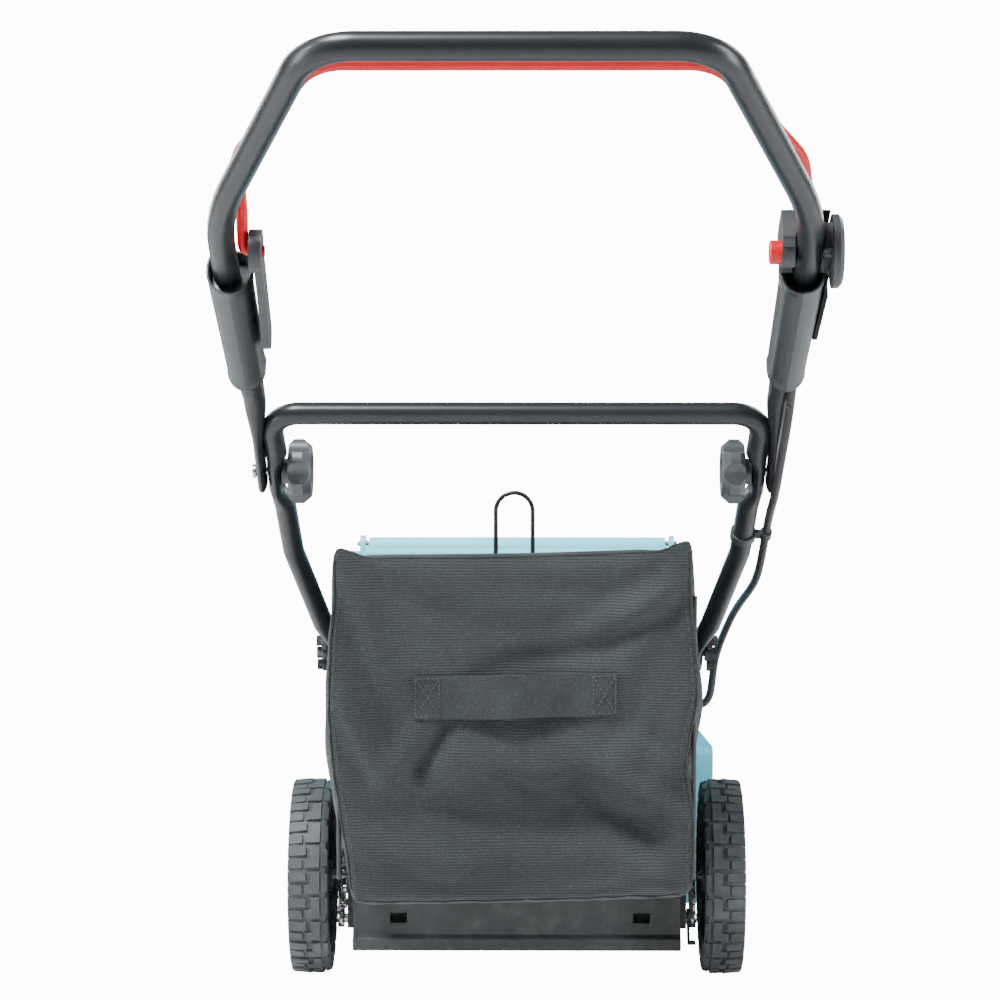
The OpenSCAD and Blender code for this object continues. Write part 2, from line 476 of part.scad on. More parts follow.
// room for the switch box where it sits in the mouth of the right grip
module box_clear() loop(PB) rotate([90,0,90]) translate([0,0,240]) linear_extrude(60) polygon(rounded([[-5.4,-34.4],[36.4,-34.4],[36.4,20],[-5.4,20]],[4,8,3,3],3));
module sleeve_right_outer() color("#6a7175") part() difference() { intersection() { sleeve(); side_cut(); } box_clear(); }
module sleeve_right_inner() color("#6a7175") part() difference() { intersection() { sleeve(); side_cut_in(); } box_clear(); }
module sleeve_left_outer() color("#6a7175") part() mirror([1,0,0]) difference() { intersection() { sleeve(); side_cut(); } leg(J) translate([268,-30,206]) rotate([90,0,0]) cylinder(r=1.6,h=20,center=true); }
module sleeve_left_inner() color("#6a7175") part() mirror([1,0,0]) intersection() { sleeve(); side_cut_in(); }

module bail_bracket() color("#53595d") part() difference() {
  union() {
    xcyl(-243.4,-232,PB[1],PB[2],20);
    place([-239.4,PB[1],PB[2]],[0,cos(phi1),-sin(phi1)],[0,sin(phi1),cos(phi1)],[1,0,0]) translate([0,-14,0]) cube([118,28,7.4]);
    place([-239.4,PB[1],PB[2]],[0,cos(phi1),-sin(phi1)],[0,sin(phi1),cos(phi1)],[1,0,0]) translate([118,0,0]) cylinder(r=14,h=7.4);
  }
  xcyl(-250,-220,PB[1],PB[2],bail_d/2+run_gap+0.9);
}
module box_tube_bore() loop(PB,267.4) translate([0,0,-60]) cylinder(r=ur+1.15,h=120);
module switch_box_outer() color("#34393c") part() {
  difference() {
    union() {
      loop(PB) rotate([90,0,90]) translate([0,0,268.05]) linear_extrude(19.9) polygon(rounded([[-5,-34],[36,-34],[36,14],[28,24],[0,24],[-5,14]],[4,8,6,6,4,4],3));
    }
    box_tube_bore();
    loop(PB) translate([260,16.2,-9]) cube([40,17.6,60]);
    xcyl(281,300,PB[1],PB[2],6+run_gap);
  }
  // long tail plate lying along the outside of the right grip
  intersection() {
    leg(J) translate([0,-40,0]) rotate([90,0,0]) mirror([0,0,1]) linear_extrude(80) polygon([[286.3,340],[286.3,300],[281,212],[285,212],[289.6,286],[287.95,303],[287.95,340]]);
    leg(J) rotate([90,0,90]) translate([0,0,270]) linear_extrude(20) polygon(rounded([[-9,212.5],[9,212.5],[15,296],[15,332],[-4,332],[-15,310],[-15,290]],[7,7,4,4,4,4,4],3));
  }
}
module switch_box_inner() color("#34393c") part() difference() {
  union() { xcyl(242.6,254.3,PB[1]-2,PB[2]-1,14); loop(PB) rotate([90,0,90]) translate([0,0,242.6]) linear_extrude(25.4) polygon(rounded([[-5,-34],[36,-34],[36,14],[28,24],[0,24],[-5,14]],[4,8,6,6,4,4],3)); }
  box_tube_bore();
  xcyl(240,253.2,PB[1]-2,PB[2]-1,11+run_gap);
  loop(PB) translate([255,16.2,-9]) cube([20,17.6,60]);
}
module lock_button() color("#cf2a38") part() union() {
  xcyl(232.4,249.4,PB[1]-2,PB[2]-1,11);
  translate([232.4,PB[1]-2,PB[2]-1]) rotate([0,-90,0]) cylinder(r1=11,r2=9.5,h=1);
}
module bail_hub() color("#2b2f32") part() difference() {
  union() {
    translate([288.3,PB[1],PB[2]]) rotate([0,90,0]) rotate_extrude() polygon([[0,0],[34,0],[34,6],[30,9.6],[20,9.6],[18,8.2],[0,8.2]]);
    xcyl(281.6,289,PB[1],PB[2],6);
  }
  xcyl(285,293.5,lp(0,0,24)[1],lp(0,0,24)[2],bail_d/2);
}
module bail_rod() color("#c8202f") part()
  sweep([lp(293.4,0,24),lp(267.5,0,24),lp(267.5,24,26.8),lp(255,102,36),lp(172,228,51),lp(-172,228,51),lp(-248,106,36),lp(-249.3,30,27),lp(-249.3,0,0),lp(-229.5,0,0)],
      [0,9,30,70,45,45,60,20,7,0],[for(i=[0:9]) bail_d/2],[for(i=[0:9]) bail_d/2],0,20,9,[0,0,1]);

// ---------- power cable ----------
cr = cable_d/2;
c_a = lg(266,190,-15.2); c_b = lg(266,128,-15.2);
clipk = [258,ccp[1],ccp[2]];
module cable_upper() color("#15171a") part() bar(c_a,c_b,cr);
module lead(P,R) color("#15171a") part() sweep(P,R,[for(i=P) cr],[for(i=P) cr],0,16,12,[0.1,0.7,0.7]);
module cable_fold() lead([c_b,lg(265,100,-17),lg(264.8,-8,-22),lg(257,-62,-6),clipk+ccz*16],[0,60,45,45,0]);
module cable_leg() color("#15171a") part() bar(clipk+ccz*14.9,clipk-ccz*14,cr);
module cable_base() lead([clipk-ccz*14,clipk-ccz*30,[248,-110,452],[227,-10,408],[222,36,345],[216,30,292],[187,30,292]],[0,30,50,40,28,16,0]);

deck_housing();
hood();
belt_cover();
rear_panel();
chute_floor();
chute_deflector();
bedknife_bar();
bedknife();
motor_body();
drive_belt();
reel_bearings();
front_axle();
handle_brackets();
flap_hinge_rod();
cable_gland();
axle_spring();
housing_screws();
reel_shaft();
reel_spiders();
reel_blades();
reel_pulley();
motor_shaft();
motor_pulley();
axle_rod();
height_lever();
rear_tyre_left();
rear_rim_left();
rear_tyre_right();
rear_rim_right();
front_tyre_left();
front_rim_left();
front_tyre_right();
front_rim_right();
flap_panel();
bag_fabric();
bag_frame();
bag_loop();
bag_strap();
lower_tube();
cable_clip();
wing_knob_left();
wing_knob_right();
upper_tube();
sleeve_left_outer();
sleeve_left_inner();
sleeve_right_outer();
sleeve_right_inner();
bail_bracket();
switch_box_outer();
switch_box_inner();
fold_bolts();
bail_rod();
bail_hub();
lock_button();
fold_knob_left();
fold_knob_right();
cable_upper();
cable_fold();
cable_leg();
cable_base();
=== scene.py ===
import math, json, random
import bpy, bmesh
import numpy as np
from mathutils import Vector, Matrix, noise
from mathutils.bvhtree import BVHTree


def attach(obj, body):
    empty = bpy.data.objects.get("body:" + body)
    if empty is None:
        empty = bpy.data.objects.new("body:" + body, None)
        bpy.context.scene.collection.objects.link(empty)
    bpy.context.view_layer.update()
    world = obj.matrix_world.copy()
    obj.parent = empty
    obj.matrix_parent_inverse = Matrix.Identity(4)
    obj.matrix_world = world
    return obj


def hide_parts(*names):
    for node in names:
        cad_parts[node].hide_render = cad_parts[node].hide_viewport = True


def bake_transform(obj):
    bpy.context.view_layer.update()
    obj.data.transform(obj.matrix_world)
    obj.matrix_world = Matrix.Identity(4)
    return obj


random.seed(7)
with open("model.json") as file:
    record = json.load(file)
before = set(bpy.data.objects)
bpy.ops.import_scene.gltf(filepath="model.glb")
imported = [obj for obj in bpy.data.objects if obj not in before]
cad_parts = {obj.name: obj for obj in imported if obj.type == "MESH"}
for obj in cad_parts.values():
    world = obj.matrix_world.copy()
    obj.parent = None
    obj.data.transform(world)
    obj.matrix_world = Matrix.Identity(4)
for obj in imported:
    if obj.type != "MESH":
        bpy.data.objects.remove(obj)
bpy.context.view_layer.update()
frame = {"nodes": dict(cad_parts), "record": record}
N = frame["nodes"]
scene = bpy.context.scene
OX, OY = -0.00595, 0.177853


def W(x, y, z):
    """Working millimetres (Y = 0 over the rear wheels) to the shared frame in metres."""
    return Vector((x / 1000 + OX, y / 1000 + OY, z / 1000))


# ------------------------------------------------------------------ camera
cam_data = bpy.data.cameras.new("camera")
cam_data.lens = 107.61
cam_data.sensor_width = 36
cam = bpy.data.objects.new("camera", cam_data)
scene.collection.objects.link(cam)
cam.location = W(9.2, -3262.3, 839.5)
cam.rotation_euler = (math.radians(90 - 5.4918), 0, math.radians(0.4915))
scene.camera = cam


# ------------------------------------------------------------------ materials
class Build:
    """Small helper round a node tree."""

    def __init__(self, name):
        self.m = bpy.data.materials.new(name)
        self.m.use_nodes = True
        self.t = self.m.node_tree
        self.t.nodes.clear()
        self.out = self.t.nodes.new("ShaderNodeOutputMaterial")
        self.p = self.t.nodes.new("ShaderNodeBsdfPrincipled")
        self.link(self.p.outputs[0], self.out.inputs[0])
        self.tc = self.t.nodes.new("ShaderNodeTexCoord")
        self.co = self.tc.outputs["Object"]

    def new(self, kind, **props):
        n = self.t.nodes.new(kind)
        for k, v in props.items():
            setattr(n, k, v)
        return n

    def link(self, a, b):
        self.t.links.new(a, b)

    def put(self, node, **vals):
        for k, v in vals.items():
            k = k.replace("_", " ")
            if isinstance(v, bpy.types.NodeSocket):
                self.link(v, node.inputs[k])
            else:
                node.inputs[k].default_value = v
        return node

    def noise(self, scale, detail=3.0, rough=0.55, co=None, distortion=0.0):
        n = self.new("ShaderNodeTexNoise")
        self.put(n, Vector=co or self.co, Scale=scale, Detail=detail, Roughness=rough, Distortion=distortion)
        return n.outputs["Fac"]

    def stretch(self, sx, sy, sz, co=None):
        n = self.new("ShaderNodeMapping")
        self.put(n, Vector=co or self.co, Scale=(sx, sy, sz))
        return n.outputs[0]

    def ramp(self, fac, stops):
        n = self.new("ShaderNodeValToRGB")
        self.link(fac, n.inputs[0])
        els = n.color_ramp.elements
        while len(els) < len(stops):
            els.new(0.5)
        for e, (pos, c) in zip(els, stops):
            e.position = pos
            e.color = (c[0], c[1], c[2], 1) if not isinstance(c, (int, float)) else (c, c, c, 1)
        return n.outputs[0]

    def maprange(self, v, a, b, c, d):
        n = self.new("ShaderNodeMapRange")
        self.link(v, n.inputs[0])
        for i, q in enumerate((a, b, c, d)):
            n.inputs[i + 1].default_value = q
        return n.outputs[0]

    def math(self, op, a, b=None):
        n = self.new("ShaderNodeMath", operation=op)
        for i, v in enumerate((a, b)):
            if v is None:
                continue
            if isinstance(v, bpy.types.NodeSocket):
                self.link(v, n.inputs[i])
            else:
                n.inputs[i].default_value = v
        return n.outputs[0]

    def mix(self, fac, a, b, blend="MIX"):
        n = self.new("ShaderNodeMix", data_type="RGBA", blend_type=blend)
        for sock, v in ((n.inputs[0], fac), (n.inputs[6], a), (n.inputs[7], b)):
            if isinstance(v, bpy.types.NodeSocket):
                self.link(v, sock)
            elif isinstance(v, (int, float)):
                sock.default_value = v
            else:
                sock.default_value = (v[0], v[1], v[2], 1)
        return n.outputs[2]

    def bump(self, height, strength, distance, after=None):
        n = self.new("ShaderNodeBump")
        self.put(n, Height=height, Strength=strength, Distance=distance)
        if after is not None:
            self.link(after, n.inputs["Normal"])
        return n.outputs[0]

    def edges(self, radius=0.0016):
        """1 on worn convex edges, 0 on flats: the rounded normal against the true one."""
        bev = self.new("ShaderNodeBevel", samples=3)
        bev.inputs["Radius"].default_value = radius
        geo = self.new("ShaderNodeNewGeometry")
        dot = self.new("ShaderNodeVectorMath", operation="DOT_PRODUCT")
        self.link(bev.outputs[0], dot.inputs[0])
        self.link(geo.outputs["Normal"], dot.inputs[1])
        return self.maprange(dot.outputs["Value"], 0.995, 0.86, 0.0, 1.0)


def tint(c, k):
    return tuple(min(1.0, v * k) for v in c)


def finish_material(name, base, spread=0.2, rough=0.5, rv=0.14, metal=0.0, coat=0.0, fine=1400.0,
                    bump=0.12, blotch=9.0, specular=0.5, worn=0.0, streak=None, dust=0.0, dist=0.00025):
    b = Build(name)
    big = b.noise(blotch, 5.0, 0.6)
    mid = b.noise(blotch * 9, 4.0, 0.6)
    both_ = b.math("ADD", b.math("MULTIPLY", big, 0.6), b.math("MULTIPLY", mid, 0.4))
    col = b.ramp(both_, [(0.3, tint(base, 1 - spread)), (0.52, base), (0.72, tint(base, 1 + spread))])
    if dust:
        d = b.maprange(b.noise(blotch * 4, 6.0, 0.7), 0.5, 0.75, 0.0, dust)
        col = b.mix(d, col, (0.32, 0.32, 0.31))
    if worn:
        e = b.math("MULTIPLY", b.edges(), b.maprange(b.noise(260, 4.0, 0.7), 0.35, 0.65, 0.1, 1.0))
        col = b.mix(b.math("MULTIPLY", e, worn), col, tint(base, 2.4))
    b.link(col, b.p.inputs["Base Color"])
    r = b.maprange(b.noise(blotch * 5, 5.0, 0.65), 0.3, 0.7, rough - rv / 2, rough + rv / 2)
    if streak:
        s = b.noise(900.0, 2.0, 0.5, co=b.stretch(*streak))
        r = b.math("ADD", r, b.maprange(s, 0.3, 0.7, -0.07, 0.09))
    b.link(r, b.p.inputs["Roughness"])
    h = b.noise(fine, 4.0, 0.6)
    nrm = b.bump(h, bump, dist)
    if streak:
        nrm = b.bump(b.noise(700.0, 2.0, 0.5, co=b.stretch(*streak)), bump * 0.7, dist, nrm)
    nrm = b.bump(b.noise(34.0, 3.0, 0.5), bump * 0.5, dist * 2.5, nrm)
    b.link(nrm, b.p.inputs["Normal"])
    b.put(b.p, Metallic=metal, Coat_Weight=coat, Coat_Roughness=0.18)
    b.p.inputs["Specular IOR Level"].default_value = specular
    return b.m


def fabric(name, base, pitch, col_pitch, bump=0.7, contrast=0.55, sheen=0.35, diag=False, fade=None):
    """Warp-knit mesh: horizontal ribs, crossed by short vertical loops, in object metres."""
    b = Build(name)
    sep = b.new("ShaderNodeSeparateXYZ")
    b.link(b.co, sep.inputs[0])
    along = b.math("ADD", sep.outputs[0], sep.outputs[1])
    wob = b.math("MULTIPLY", b.math("SUBTRACT", b.noise(26.0, 4.0, 0.55), 0.5), pitch * 1.1)
    up = b.math("ADD", sep.outputs[2], wob)
    if diag:
        up = b.math("ADD", up, b.math("MULTIPLY", along, 0.6))
    ribs = b.math("SINE", b.math("MULTIPLY", up, 2 * math.pi / pitch))
    rib01 = b.maprange(ribs, -1.0, 1.0, 0.0, 1.0)
    row = b.math("FLOOR", b.math("DIVIDE", up, pitch))
    shift = b.math("MULTIPLY", b.math("MODULO", row, 2.0), col_pitch / 2)
    loops = b.math("SINE", b.math("MULTIPLY", b.math("ADD", along, shift), 2 * math.pi / col_pitch))
    loop01 = b.maprange(loops, -1.0, 1.0, 0.0, 1.0)
    weave = b.math("MULTIPLY", rib01, b.math("ADD", b.math("MULTIPLY", loop01, 0.45), 0.55))
    fuzz = b.noise(1500.0, 3.0, 0.6)
    fleck = b.maprange(b.noise(420.0, 2.0, 0.6), 0.56, 0.74, 0.0, 0.5)
    deep = tint(base, 1 - contrast)
    high = tint(base, 1 + contrast)
    col = b.ramp(weave, [(0.05, deep), (0.45, base), (0.95, high)])
    col = b.mix(fleck, col, tint(base, 2.1))
    cloud = b.maprange(b.noise(7.0, 5.0, 0.6), 0.3, 0.7, 0.78, 1.22)
    comb = b.new("ShaderNodeCombineColor")
    for i in range(3):
        b.link(cloud, comb.inputs[i])
    col = b.mix(1.0, col, comb.outputs[0], "MULTIPLY")
    b.link(col, b.p.inputs["Base Color"])
    b.link(b.maprange(fuzz, 0.3, 0.7, 0.74, 0.95), b.p.inputs["Roughness"])
    nrm = b.bump(weave, bump, pitch * 0.35)
    nrm = b.bump(fuzz, 0.25, 0.0003, nrm)
    b.link(nrm, b.p.inputs["Normal"])
    b.put(b.p, Sheen_Weight=sheen, Sheen_Roughness=0.45)
    b.p.inputs["Sheen Tint"].default_value = (0.55, 0.6, 0.6, 1)
    b.p.inputs["Specular IOR Level"].default_value = 0.25
    return b.m


MAT = {
    "deck_black": finish_material("deck_black", (0.041, 0.046, 0.049), rough=0.55, fine=1700, bump=0.22, dust=0.1, worn=0.35),
    "hood_teal": finish_material("hood_teal", (0.19, 0.71, 0.86), spread=0.06, rough=0.36, fine=2200, bump=0.08, coat=0.15, worn=0.12),
    "cover_teal": finish_material("cover_teal", (0.20, 0.72, 0.86), spread=0.06, rough=0.34, fine=2200, bump=0.08, coat=0.2, worn=0.12),
    "steel_dark": finish_material("steel_dark", (0.045, 0.048, 0.052), rough=0.42, metal=0.6, bump=0.15, worn=0.6, streak=(1, 1, 0.05)),
    "blade_steel": finish_material("blade_steel", (0.42, 0.43, 0.44), rough=0.3, metal=1.0, bump=0.18, streak=(0.05, 1, 1), worn=0.3),
    "motor_metal": finish_material("motor_metal", (0.33, 0.34, 0.35), rough=0.4, metal=0.9, bump=0.16, streak=(0.06, 1, 1), worn=0.3),
    "belt_rubber": finish_material("belt_rubber", (0.018, 0.018, 0.018), rough=0.72, bump=0.25),
    "steel_bright": finish_material("steel_bright", (0.56, 0.57, 0.58), rough=0.27, metal=1.0, bump=0.1, streak=(0.06, 1, 1)),
    "switch_grey": finish_material("switch_grey", (0.034, 0.039, 0.043), rough=0.44, fine=2600, bump=0.16, worn=0.4),
    "wheel_rubber": finish_material("wheel_rubber", (0.052, 0.060, 0.067), rough=0.56, fine=1300, bump=0.22, dust=0.14, worn=0.55),
    "wheel_hub": finish_material("wheel_hub", (0.036, 0.041, 0.045), rough=0.48, fine=2000, bump=0.18, dust=0.06, worn=0.4),
    "handle_paint": finish_material("handle_paint", (0.0140, 0.0170, 0.0200), spread=0.10, rough=0.34, rv=0.03, fine=2400, bump=0.008, specular=0.42),
    "grip_grey": finish_material("grip_grey", (0.050, 0.060, 0.066), rough=0.38, fine=2600, bump=0.12, worn=0.4),
    "bail_red": finish_material("bail_red", (0.60, 0.001, 0.008), spread=0.08, rough=0.36, coat=0.12, bump=0.06, specular=0.35),
    "cable_black": finish_material("cable_black", (0.022, 0.022, 0.024), rough=0.5, bump=0.18, fine=1800),
    "bag_mesh": fabric("bag_mesh", (0.0315, 0.0375, 0.0395), 0.0029, 0.0024, bump=0.6, contrast=0.36, sheen=0.15),
    "webbing": fabric("webbing", (0.031, 0.037, 0.041), 0.0021, 0.0016, bump=0.6, contrast=0.5, sheen=0.12, diag=True),
}
# darker copy of the grip plastic for the inner half of each grip and the ring in its mouth: painted shade
MAT["grip_inner"] = finish_material("grip_inner", (0.019, 0.023, 0.026), spread=0.08, rough=0.36, rv=0.03, fine=2600, bump=0.005, specular=0.5)
MAT["bag_hem"] = fabric("bag_hem", (0.030, 0.034, 0.036), 0.0018, 0.0018, bump=0.5, contrast=0.4, diag=True)
MAT["thread"] = finish_material("thread", (0.060, 0.064, 0.070), rough=0.8, bump=0.5, fine=2500, dist=0.0004)
MAT["dark_gap"] = finish_material("dark_gap", (0.004, 0.004, 0.005), rough=0.8, bump=0.3)
MAT["light_ring"] = finish_material("light_ring", (0.42, 0.43, 0.44), rough=0.4, metal=0.3, bump=0.15)


# ------------------------------------------------------------------ CAD nodes: finish and softened edges
def dress(ob, mat, width=0.0, smooth_angle=32):
    ob.data.materials.clear()
    ob.data.materials.append(mat)
    for p in ob.data.polygons:
        p.use_smooth = True
    weld = ob.modifiers.new("weld", "WELD")
    weld.merge_threshold = 0.00002
    if width:
        flat = ob.modifiers.new("flat", "DECIMATE")
        flat.decimate_type = "DISSOLVE"
        flat.angle_limit = math.radians(0.6)
        bev = ob.modifiers.new("edge", "BEVEL")
        bev.width = width
        bev.segments = 2
        bev.limit_method = "ANGLE"
        bev.angle_limit = math.radians(smooth_angle)
        bev.use_clamp_overlap = True
        bev.profile = 0.6
    wn = ob.modifiers.new("normals", "WEIGHTED_NORMAL")
    wn.keep_sharp = False
    wn.weight = 80


EDGE = {
    "deck_housing": 0.0012, "rear_panel": 0.0007, "chute_floor": 0.001, "chute_deflector": 0.001, "hood": 0.002,
    "flap_panel": 0.0014, "belt_cover": 0.003, "bedknife_bar": 0.0006, "handle_brackets": 0.0006, "height_lever": 0.0006,
    "motor_body": 0.0008, "cable_gland": 0.0006, "cable_clip": 0.0005, "wing_knob_left": 0.0012, "wing_knob_right": 0.0012,
    "bail_bracket": 0.001, "switch_box_outer": 0.0016, "switch_box_inner": 0.0016, "bail_hub": 0.001,
    "rear_rim_left": 0.0009, "rear_rim_right": 0.0009, "front_rim_left": 0.0008, "front_rim_right": 0.0008,
    "sleeve_left_outer": 0.0016, "sleeve_left_inner": 0.0016, "sleeve_right_outer": 0.0016, "sleeve_right_inner": 0.0016,
    "fold_knob_left": 0.0013, "fold_knob_right": 0.0013, "lock_button": 0.0008, "fold_bolts": 0.0005,
    "housing_screws": 0.0004, "motor_pulley": 0.0004, "reel_pulley": 0.0005, "reel_spiders": 0.0004, "bedknife": 0.0002,
}
SLOT = {s["node"]: s["material_slot"] for s in frame["record"]["subparts"]}
MAT["loop_wire"] = finish_material("loop_wire", (0.022, 0.026, 0.030), rough=0.35, metal=0.4, bump=0.1, coat=0.3)
for name, ob in N.items():
    dress(ob, MAT["loop_wire"] if name == "bag_loop" else MAT[SLOT[name]], EDGE.get(name, 0.0))


# ------------------------------------------------------------------ mesh helpers
def mesh_object(name, verts, faces, mat, smooth=True):
    me = bpy.data.meshes.new(name)
    me.from_pydata([tuple(v) for v in verts], [], faces)
    me.validate()
    me.update()
    ob = bpy.data.objects.new(name, me)
    scene.collection.objects.link(ob)
    me.materials.append(mat)
    for p in me.polygons:
        p.use_smooth = smooth
    return ob


def fillet(pts, radii, step=7.0):
    """Corner points and bend radii (metres) to a smooth list of points."""
    out = [Vector(pts[0])]
    for i in range(1, len(pts) - 1):
        a, b, c = Vector(pts[i - 1]), Vector(pts[i]), Vector(pts[i + 1])
        u, v = (a - b).normalized(), (c - b).normalized()
        ang = u.angle(v)
        r = radii[i]
        if r <= 0 or ang > math.pi - 1e-3:
            out.append(b)
            continue
        cut = min(r / math.tan(ang / 2), 0.49 * (a - b).length, 0.49 * (c - b).length)
        r = cut * math.tan(ang / 2)
        centre = b + (u + v).normalized() * (r / math.sin(ang / 2))
        p0, p1 = b + u * cut, b + v * cut
        w0, w1 = p0 - centre, p1 - centre
        total = w0.angle(w1)
        n = max(2, int(math.degrees(total) / step))
        axis = w0.cross(w1).normalized()
        for k in range(n + 1):
            out.append(centre + Matrix.Rotation(total * k / n, 3, axis) @ w0)
    out.append(Vector(pts[-1]))
    return out


def resample(pts, step):
    out = [pts[0]]
    for a, b in zip(pts, pts[1:]):
        n = max(1, int(round((b - a).length / step)))
        for k in range(1, n + 1):
            out.append(a.lerp(b, k / n))
    return out


def tube_data(path, radius, sides=16, flat=1.0, hint=Vector((0, 0, 1))):
    """radius: number or function of the share of the length. flat: the second half-width over the first."""
    verts, faces = [], []
    n = len(path)
    lens = [0.0]
    for a, b in zip(path, path[1:]):
        lens.append(lens[-1] + (b - a).length)
    t0 = (path[1] - path[0]).normalized()
    ref = hint if abs(hint.dot(t0)) < 0.95 else Vector((1, 0, 0))
    side = t0.cross(ref).normalized()
    for i, p in enumerate(path):
        t = (path[min(i + 1, n - 1)] - path[max(i - 1, 0)]).normalized()
        side = (side - t * side.dot(t)).normalized()
        up = t.cross(side)
        r = radius(lens[i] / lens[-1]) if callable(radius) else radius
        for k in range(sides):
            a = 2 * math.pi * k / sides
            verts.append(p + side * (math.cos(a) * r) + up * (math.sin(a) * r * flat))
    for i in range(n - 1):
        for k in range(sides):
            a, b = i * sides + k, i * sides + (k + 1) % sides
            faces.append((a, b, b + sides, a + sides))
    faces.append(tuple(range(sides))[::-1])
    faces.append(tuple((n - 1) * sides + k for k in range(sides)))
    return verts, faces


def join(parts):
    verts, faces = [], []
    for v, f in parts:
        o = len(verts)
        verts += list(v)
        faces += [tuple(i + o for i in q) for q in f]
    return verts, faces


def tube(name, path, radius, mat, sides=16, flat=1.0):
    v, f = tube_data(path, radius, sides, flat)
    return mesh_object(name, v, f, mat)


# ------------------------------------------------------------------ cable
C, S = math.cos(math.radians(42.4)), math.sin(math.radians(42.4))


def lg(x, a, n):
    return W(x, -261 - a * C + n * S, 580 + a * S + n * C)


ccz = Vector((10, -170, 155)).normalized()
ccp = Vector((233, -160, 488)) + ccz * 30
clip = Vector((258, ccp.y, ccp.z))


def at(v):
    return W(v.x, v.y, v.z)


def cable_radius(t):
    return 0.0043


cable_parts = [
    ("cable_run_handle", [lg(266, 190, -15.2), lg(266, 128, -15.2)], [0, 0], ("ride", "upper_handle"), "cable_upper"),
    ("cable_run_fold", [lg(266, 128, -15.2), lg(265.4, 100, -17), lg(262.2, 40, -20.5), lg(260.4, -12, -21), lg(258.4, -58, -9), at(clip + ccz * 16)],
     [0, .06, .06, .06, .045, 0], ("blend", "upper_handle", "lower_handle", lg(265, 75, -18), lg(257, -58, -6)), "cable_fold"),
    ("cable_run_leg", [at(clip + ccz * 16), at(clip - ccz * 14)], [0, 0], ("ride", "lower_handle"), "cable_leg"),
    ("cable_run_base", [at(clip - ccz * 14), at(clip - ccz * 30), W(255, -114, 452), W(236, -16, 404), W(218, 34, 345),
                        W(216, 30, 292), W(187, 30, 292)],
     [0, .03, .05, .04, .028, .016, 0], ("blend", "lower_handle", "chassis", W(248, -110, 452), W(222, 36, 345)), "cable_base"),
]


def eased(path, rounds):
    """The same run with its corners relaxed; both end pieces keep their direction."""
    q = [Vector(v) for v in path]
    for _ in range(rounds if len(q) > 8 else 0):
        q = q[:2] + [q[i] * 0.5 + (q[i - 1] + q[i + 1]) * 0.25 for i in range(2, len(q) - 2)] + q[-2:]
    return q


for nm, pts, rad, how, node in cable_parts:
    ob = tube(nm, eased(resample(fillet(pts, rad), 0.005), 36), cable_radius, MAT["cable_black"], 18)
    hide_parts(node)
    if how[0] == "ride":
        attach(ob, how[1])
    else:
        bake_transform(ob)


# ------------------------------------------------------------------ handle tubes, flattened where they are drilled
C2, S2 = math.cos(math.radians(31.3)), math.sin(math.radians(31.3))


def lp(x, u, n):
    return W(x, -520.2 - u * C2 + n * S2, 804.4 + u * S2 + n * C2)


def shaped_tube(name, pts, radii, A, B, mat, sides=40, step=0.008, up0=Vector((0, 0.62, 0.78))):
    """Bent tube with its own half-widths across (A) and up (B) at every corner point, in millimetres."""
    line = []
    m = len(pts)
    for i in range(m):
        if i in (0, m - 1) or radii[i] <= 0:
            line.append((Vector(pts[i]), float(i)))
            continue
        a, b, c = Vector(pts[i - 1]), Vector(pts[i]), Vector(pts[i + 1])
        sub = fillet([a, b, c], [0, radii[i], 0], 4.0)[1:-1]
        la_, lc_ = (b - a).length, (c - b).length
        w0, w1 = (sub[0] - b).length / la_, (sub[-1] - b).length / lc_
        for k, q in enumerate(sub):
            t = k / (len(sub) - 1)
            line.append((q, i - w0 * (1 - t * 2) if t < 0.5 else i + w1 * (t * 2 - 1)))
    path, par = [line[0][0]], [line[0][1]]
    for (a, ta), (b, tb) in zip(line, line[1:]):
        n = max(1, int(round((b - a).length / step)))
        for k in range(1, n + 1):
            path.append(a.lerp(b, k / n))
            par.append(ta + (tb - ta) * k / n)
    verts, faces_ = [], []
    n = len(path)

    def val(table, t):
        i = min(int(t), m - 2)
        f_ = t - i
        f_ = f_ * f_ * (3 - 2 * f_)
        return table[i] + (table[i + 1] - table[i]) * f_

    for i, q in enumerate(path):
        tg = (path[min(i + 1, n - 1)] - path[max(i - 1, 0)]).normalized()
        up = (up0 - tg * up0.dot(tg)).normalized()
        sd = tg.cross(up)
        a, b = val(A, par[i]) / 1000, val(B, par[i]) / 1000
        for k in range(sides):
            th = 2 * math.pi * k / sides
            verts.append(q + sd * (math.cos(th) * a) + up * (math.sin(th) * b))
    for i in range(n - 1):
        for k in range(sides):
            a, b = i * sides + k, i * sides + (k + 1) % sides
            faces_.append((a, b, b + sides, a + sides))
    faces_.append(tuple(range(sides))[::-1])
    faces_.append(tuple((n - 1) * sides + k for k in range(sides)))
    ob = mesh_object(name, verts, faces_, mat)
    bm_ = bmesh.new()
    bm_.from_mesh(ob.data)
    bmesh.ops.recalc_face_normals(bm_, faces=bm_.faces)
    bm_.to_mesh(ob.data)
    bm_.free()
    ob.data.set_sharp_from_angle(angle=math.radians(50))
    return ob


def both_sides(half, tail):
    """Right-hand points and their tables to the whole hoop. half holds (x, function, a, b)."""
    right = [fn(x, *ab) for x, fn, *ab in half]
    left = [fn(-x, *ab) for x, fn, *ab in half]
    return right + left[::-1], [v for t in tail for v in [t + t[::-1]]]


def wk(x, y, z):
    return W(x, y, z)


